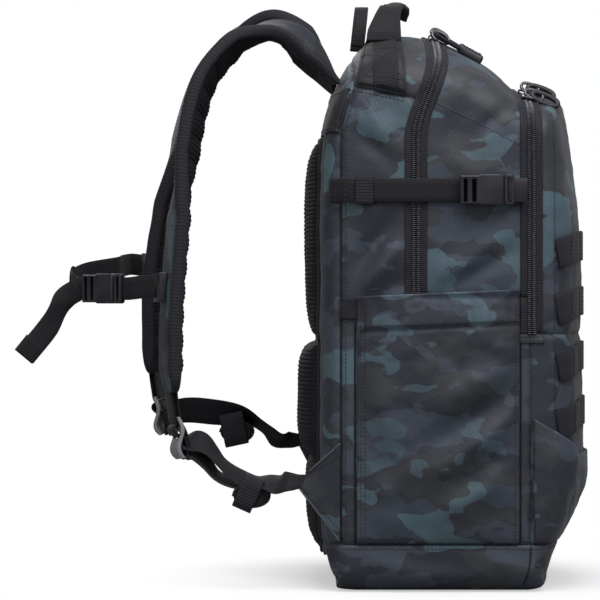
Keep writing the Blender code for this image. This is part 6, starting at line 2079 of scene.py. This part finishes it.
@dataclass
class TopHandles(Assembly):
    """The haul handle with its two sewn patches, and the hang loop behind it."""

    handle_x: float = -0.0335
    foot_y: float = 0.086
    grip_width: float = 0.0235
    thickness: float = 0.0028
    flare: float = 0.007       # how much wider each leg is at its foot
    waist: float = 0.004       # how much narrower each leg is half way up
    slant: float = 0.0125      # how far back each foot stands from the grip
    curl: float = 0.0075       # how far the grip's edges fold down
    patch_top: Pair = (-0.0618, -0.0318)
    patch_low: Pair = (-0.069, -0.0285)
    leg: Pair = (-0.0553, -0.0353)
    box_x: Pair = (-0.064, -0.0316)
    box_shares: Pair = (0.47, 0.91)
    patch_z: float = 0.3      # the patches fan out from this height in the middle of the pack,
    patch_angles: Pair = (22.0, 52.0)       # from the handle's foot to below the cap's seam
    patch_length: float = 0.07
    loop_x: float = -0.0675
    loop_half: float = 0.028
    loop_rise: float = 0.037
    loop_width: float = 0.012
    loop_lean: float = 0.004

    def build(self) -> None:
        """Make handle, patches and loop."""
        self.handle()
        for side, tag in SIDES:
            self.anchor(side, tag)
        self.loop()

    def handle(self) -> None:
        """The arched grip: two layers of webbing, folded over in the middle."""
        low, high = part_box("haul_handle")
        foot_z, top_z, foot = low.z, high.z - 0.0022, self.foot_y
        h = top_z - foot_z
        right = [(0.0327, top_z - 0.002), (0.72 * foot, foot_z + 0.78 * h), (0.95 * foot, foot_z + 0.3 * h),
                 (foot, foot_z - 0.0008)]
        shape = [(-y, z) for y, z in reversed(right)] + [(0.0, top_z)] + right
        line = spaced(smooth_run([(self.handle_x, y, z) for y, z in shape], 12), 0.0022)
        grip = np.clip(1 - (line[:, 1] / (0.62 * foot)) ** 4, 0, 1)[:, None]
        ways = rolled(line, AHEAD)
        leg = np.clip((np.abs(line[:, 1]) - 0.04) / 0.046, 0, 1)
        half = 0.5 * (self.grip_width + self.flare * leg ** 3 - self.waist * np.sin(math.pi * leg))
        line[:, 0] -= self.slant * leg
        u = np.linspace(-1, 1, 27)
        wide = half[:, None] * u
        curl = self.curl * grip * np.abs(u) ** 3
        ways = ways[:, None]
        middle = line[:, None] + AHEAD * wide[..., None] - ways * curl[..., None]
        thick = (0.5 * self.thickness * (1 + 0.8 * grip))[..., None]
        run = np.repeat(arc(line)[:, None], len(u), axis=1)
        band = sheet_between("haul_handle_band", middle + ways * thick, middle - ways * thick,
                             self.palette.webbing, (wide, run))
        dress(band, Body.HANDLE, Slot.WEBBING, "haul_handle")
        for column in (4, -5):
            self.sewing.add(Body.HANDLE, (middle + ways * (thick + 0.0003))[6:-6, column], ways[6:-6, 0])

    def anchor(self, side: int, tag: str) -> None:
        """One sewn patch with its box and cross of stitches.

        Args:
            side: -1 left, 1 right.
            tag: left or right.
        """
        layers = []
        for tops, lows, count, under, over, finish in (
                (self.patch_top, self.patch_low, 22, -0.0006, 0.0024, self.palette.black_cloth),
                (self.leg, self.leg, 12, 0.002, 0.0038, self.palette.webbing)):
            edges = np.linspace(tops, lows, 40)
            xs = np.linspace(edges[:, 0], edges[:, 1], count, axis=1)
            met = np.array([[self.drop(x, side, share) for x in row]
                            for row, share in zip(xs, np.linspace(0.0, 0.99, 40))])
            base, outs = met[:, :, 0], met[:, :, 1]
            run = np.repeat(arc(base[:, count // 2])[:, None], count, axis=1)
            layers.append(sheet_between("layer", base + outs * over, base + outs * under, finish, (xs, run)))
        dress(joined(f"handle_anchor_{tag}_patch", layers), Body.PACK, Slot.WEBBING, f"handle_anchor_{tag}")
        (near, far), (low, high) = self.box_x, self.box_shares
        lines = [[(near, low), (far, low), (far, high), (near, high), (near, low), (far, high)],
                 [(near, high), (far, low)]]
        for tops, lows, insets in ((self.leg, self.leg, (0.0012, -0.0012)),
                                   (self.patch_top, self.patch_low, (0.002, -0.0016))):
            lines += [[(top + inset, 0.05), (foot + inset, 0.98)]
                      for top, foot, inset in zip(tops, lows, insets)]
        for corners in lines:
            rows = spaced([(x, self.patch_length * share, 0.0) for x, share in corners], 0.003)
            met = np.array([self.drop(x, side, along / self.patch_length) for x, along, _ in rows])
            over = np.where((rows[:, 0] > self.leg[0]) & (rows[:, 0] < self.leg[1]), 0.0041, 0.0027)
            self.sewing.add(Body.PACK, met[:, 0] + met[:, 1] * over[:, None], met[:, 1])

    def drop(self, x: float, side: int, share: float) -> Run:
        """The cloth part of the way from the handle's foot (0) to the seam under the cap (1).

        Args:
            x: where on the pack.
            side: -1 left, 1 right.
            share: how far down.
        Returns:
            The place and the outward direction there.
        """
        def met(angle: float) -> Run:
            """The cloth at an angle from straight up."""
            ray = np.array([0.0, side * math.sin(angle), math.cos(angle)])
            return self.skin.towards((x, 0.0, self.patch_z), ray)

        start, last = (math.radians(angle) for angle in self.patch_angles)
        seam_z, first = float(self.skin.seams.cap(x)) + 0.0012, start
        for _ in range(12):
            middle = 0.5 * (first + last)
            first, last = (middle, last) if met(middle)[0][2] > seam_z else (first, middle)
        return met(start + share * (first - start))

    def loop(self) -> None:
        """The narrow hang loop."""
        angles = np.linspace(0, math.pi, 70)
        low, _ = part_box("hang_loop")
        share = np.sin(angles) ** 0.7
        line = spaced(np.stack([self.loop_x + self.loop_lean * share, -self.loop_half * np.cos(angles),
                                low.z + 0.001 + self.loop_rise * share], axis=1), 0.0018)
        item = ribbon("hang_loop_band", line, rolled(line, -AHEAD), self.loop_width, 0.0016,
                      self.palette.webbing)
        dress(item, Body.PACK, Slot.WEBBING, "hang_loop")


@dataclass
class ZipPull(Assembly):
    """One slider with its pull: gunmetal slider and ring, with a cord loop and grip or a rubber ring."""

    zip_name: str
    tag: str
    pivot: Triple
    way: Triple
    cord: float
    grip: float
    ringed: bool
    grip_width: float = 0.011
    grip_thickness: float = 0.0098
    cord_radius: float = 0.0017
    cord_half: float = 0.0036

    def build(self) -> None:
        """Make slider and pull."""
        node = f"{self.zip_name}_zip_slider_{self.tag}"
        moulded(node, f"{node}_casting", 0.0005, self.palette.zinc, f"{self.zip_name}_slider_{self.tag}",
                Slot.METAL)
        pivot, along = np.array(self.pivot), np.array(self.way)
        up = np.cross(along, ACROSS)
        up = up if up[2] > 0 else -up
        lean = unit(0.55 * ACROSS + 0.83 * up) * 0.0046
        parts = [self.ring(pivot + along * 0.005, along * 0.008, lean, 0.0014, self.palette.zinc)]
        if self.ringed:
            parts.append(self.ring(pivot + along * 0.015, along * 0.0118, lean, 0.0024, self.palette.rubber))
        else:
            cord, half = self.cord, self.cord_half
            arm = [(cord + 0.004, half * 0.8), (0.6 * cord, half), (0.004, half), (0.0005, 0.6 * half)]
            shape = arm + [(-0.0004, 0.0)] + [(a, -b) for a, b in reversed(arm)]
            line = spaced(smooth_run([pivot + along * a + ACROSS * b for a, b in shape], 8), 0.0008)
            parts.append(tube("loop", line, self.cord_radius, self.palette.elastic))
            parts.append(self.handle(pivot + along * cord, along, up))
        dress(joined(f"{node}_grip", parts), f"{self.zip_name}_pull_{self.tag}", Slot.PLASTIC,
              f"{self.zip_name}_zip_pull_{self.tag}")

    @staticmethod
    def ring(middle: Array, one: Array, other: Array, radius: float, material: Material) -> Mesh:
        """A ring of wire or rubber round an oval."""
        return tube("ring", oval(middle, one, other, 44, (0.8, 0.8)), radius, material, closed=True)

    def handle(self, start: Array, along: Array, up: Array) -> Mesh:
        """The moulded grip: a tapered rounded bar with ribs across it.

        Args:
            start: its near end.
            along: direction along it.
            up: direction up from it.
        Returns:
            The grip.
        """
        rings = []
        for t in np.linspace(0, 1, 64):
            cap = math.sqrt(max(0.0, 1 - max(0.0, (0.1 - t) / 0.1, (t - 0.9) / 0.1) ** 2))
            rib = 1 - 0.1 * (0.2 < t < 0.84) * (0.5 - 0.5 * math.cos(2 * math.pi * (t - 0.2) / 0.128))
            half = 0.5 * (0.8 + 0.2 * t) * cap
            rings.append(oval(start + along * t * self.grip, ACROSS * self.grip_width * half,
                              up * self.grip_thickness * half * rib, 24, (0.7, 0.7)))
        verts = np.vstack(rings)
        grip = mesh_object("grip", verts, hoops(64, 24, capped=False), [self.palette.rubber],
                           np.zeros((len(verts), 2)))
        bm = merged(grip.data, 1e-6)
        bm.to_mesh(grip.data)
        bm.free()
        return facing_out(grip)


@dataclass
class Studio:
    """Camera at the photograph's angle, soft light and a pale floor that fades to white."""

    eye: Triple = (-0.1188, -2.6, 0.248)
    lens: float = 173.3
    world: float = 0.33
    aim: Triple = (0.0, 0.0, 0.24)
    lamps: tuple[tuple[str, Triple, float, float], ...] = (    # name, place, size, power
        ("key", (1.0, -1.6, 1.9), 1.2, 24.0), ("fill", (-1.3, -1.9, 0.8), 1.5, 8.0),
        ("top", (0.0, -0.7, 1.65), 0.9, 15.0), ("rear", (-0.6, 1.9, 1.2), 1.4, 13.0))
    floor_rings: tuple[float, ...] = (0.0001, 0.4, 0.9, 2.0, 6.0)
    floor_z: float = -0.0006
    fade: Pair = (0.1, 0.27)

    def build(self) -> None:
        """Make camera, lights, floor and world."""
        scene = bpy.context.scene
        scene.view_settings.view_transform = "Standard"
        lens = bpy.data.cameras.new("camera")
        lens.lens, lens.sensor_width = self.lens, 36.0
        scene.camera = placed("camera", lens)
        scene.camera.location = self.eye
        scene.camera.rotation_euler = (math.radians(90), 0.0, 0.0)
        for name, place, size, power in self.lamps:
            lamp = bpy.data.lights.new(name, "AREA")
            lamp.shape, lamp.size, lamp.energy = "DISK", size, power
            item = placed(name, lamp)
            item.location = place
            item.rotation_euler = (Vector(self.aim) - Vector(place)).to_track_quat("-Z", "Y").to_euler()
        self.sky()
        self.floor()

    def sky(self) -> None:
        """White to the camera and through glass, a plain level for everything else."""
        world = bpy.data.worlds.new("studio")
        bpy.context.scene.world = world
        world.use_nodes = True
        tree = world.node_tree
        tree.nodes.clear()
        path = add_node(tree, "ShaderNodeLightPath").outputs
        seen = add_node(tree, "ShaderNodeMath", {0: path["Is Camera Ray"], 1: path["Is Transmission Ray"]},
                        operation="MAXIMUM").outputs[0]
        lit, white = (add_node(tree, "ShaderNodeBackground", {"Color": (1, 1, 1, 1), "Strength": strength})
                      for strength in (self.world, 1.0))
        both = add_node(tree, "ShaderNodeMixShader", {0: seen, 1: lit.outputs[0], 2: white.outputs[0]})
        add_node(tree, "ShaderNodeOutputWorld", {"Surface": both.outputs[0]})

    def floor(self) -> None:
        """A round floor: it takes the shadow near the pack and is white to the camera further out."""
        count = 96
        verts = np.vstack([oval(UP * self.floor_z, AHEAD * radius, ACROSS * radius, count)
                           for radius in self.floor_rings])
        faces = [face[::-1] for face in hoops(len(self.floor_rings), count, capped=False)]
        made, tree, shader = blank_material("matt_white_backdrop_paper", 0.9, "f4f4f4", specular=0.1)
        place = add_node(tree, "ShaderNodeTexCoord").outputs["Object"]
        far = add_node(tree, "ShaderNodeVectorMath", {0: place}, operation="LENGTH").outputs["Value"]
        near, clear = self.fade
        fade = add_node(tree, "ShaderNodeMapRange",
                        {"Value": far, "From Min": near, "From Max": clear, "To Min": 0.45},
                        interpolation_type="SMOOTHSTEP").outputs[0]
        white = add_node(tree, "ShaderNodeEmission", {"Color": (1, 1, 1, 1), "Strength": 1.0}).outputs[0]
        seen = add_node(tree, "ShaderNodeMixShader", {0: fade, 1: shader.outputs[0], 2: white}).outputs[0]
        bounce = add_node(tree, "ShaderNodeBsdfDiffuse", {"Color": linear("8c8c8c")}).outputs[0]
        camera = add_node(tree, "ShaderNodeLightPath").outputs["Is Camera Ray"]
        both = add_node(tree, "ShaderNodeMixShader", {0: camera, 1: bounce, 2: seen})
        tree.links.new(both.outputs[0], tree.nodes["Material Output"].inputs["Surface"])
        mesh_object("floor", verts, faces, [made])


LOWER_WEBBING: dict[str, tuple[Any, ...]] = {
    "left": (((-0.2185, 0.109, 0.1265, 25), (-0.207, 0.113, 0.126, 48), (-0.196, 0.117, 0.119, 26),
              (-0.186, 0.121, 0.1085, 18), (-0.172, 0.125, 0.0975, 28), (-0.158, 0.128, 0.092, 24),
              (-0.146, 0.133, 0.0925, 26), (-0.138, 0.138, 0.0918, 40)),
             ((-0.2175, 0.1085, 0.119, 25), (-0.208, 0.113, 0.117, 40), (-0.199, 0.117, 0.107, 22),
              (-0.19, 0.12, 0.0975, 16), (-0.177, 0.124, 0.0925, 22), (-0.163, 0.127, 0.09, 20)),
             0.0935, (-0.16, -0.128, 0.08075), (0.017, 24.0)),
    "right": (((-0.243, 0.109, 0.141, 35), (-0.232, 0.112, 0.144, 65), (-0.218, 0.115, 0.1445, 75),
               (-0.2, 0.119, 0.1425, 75), (-0.184, 0.123, 0.1405, 62), (-0.172, 0.126, 0.1385, 40),
               (-0.16, 0.13, 0.132, 26), (-0.149, 0.134, 0.1245, 26), (-0.14, 0.138, 0.1165, 40)),
              (), 0.115, (-0.178, 0.125, 0.12375), (0.022, -12.0))}
ZIP_PULLS = (("main", "left", (0.00044, -0.06347, 0.48105), (0.8608, 0, -0.509), 0.024, 0.023, False),
             ("main", "right", (0.00044, -0.04101, 0.48515), (0.8574, 0, -0.5146), 0.024, 0.023, False),
             ("front", "left", (0.07918, -0.10167, 0.42737), (0.9205, 0, -0.3907), 0.01, 0.017, True),
             ("front", "right", (0.07918, -0.05498, 0.43627), (0.9394, 0, -0.3429), 0.01, 0.017, True))


def main() -> None:
    """Build the pack's sub-assemblies in order."""
    logging.basicConfig(level=logging.INFO, format="%(name)s: %(message)s")
    Studio().build()
    palette, sewing, tree = Palette(), Sewing(), LineTree()
    skin = Skin(BodyForm(), Seams(), voxel=0.003)
    shop = (palette, skin, sewing, tree)
    BodyPanels(*shop).build()
    ZipLine(*shop, "main", (Body.PACK, Body.MAIN_LID), ("main_zip_rear_tape", "main_zip_lid_tape"),
            skin.seams.main_zip).build()
    ZipLine(*shop, "front", (Body.MAIN_LID, Body.FRONT_LID), ("front_zip_lid_tape", "front_zip_front_tape"),
            skin.seams.front_zip, front_low=0.2194).build()
    for assembly in (BackPads, FrontWebbing, LowerFrontFlap, TopHandles):
        assembly(*shop).build()
    straps = {tag: ShoulderStrap(*shop, side, tag) for side, tag in SIDES}
    for side, tag in SIDES:
        SidePocket(*shop, side, tag).build()
        Compression(*shop, side, tag).build()
        straps[tag].build()
        LowerWebbing(*shop, straps[tag], *LOWER_WEBBING[tag]).build()
    ChestStrap(*shop, straps).build()
    for pull in ZIP_PULLS:
        ZipPull(*shop, *pull).build()
    sewing.make(tree, palette)
    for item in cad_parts.values():
        if not item.hide_render and item.name != "frame_sheet":
            LOG.info("solid still showing: %s", item.name)


if __name__ == "__main__":
    main()
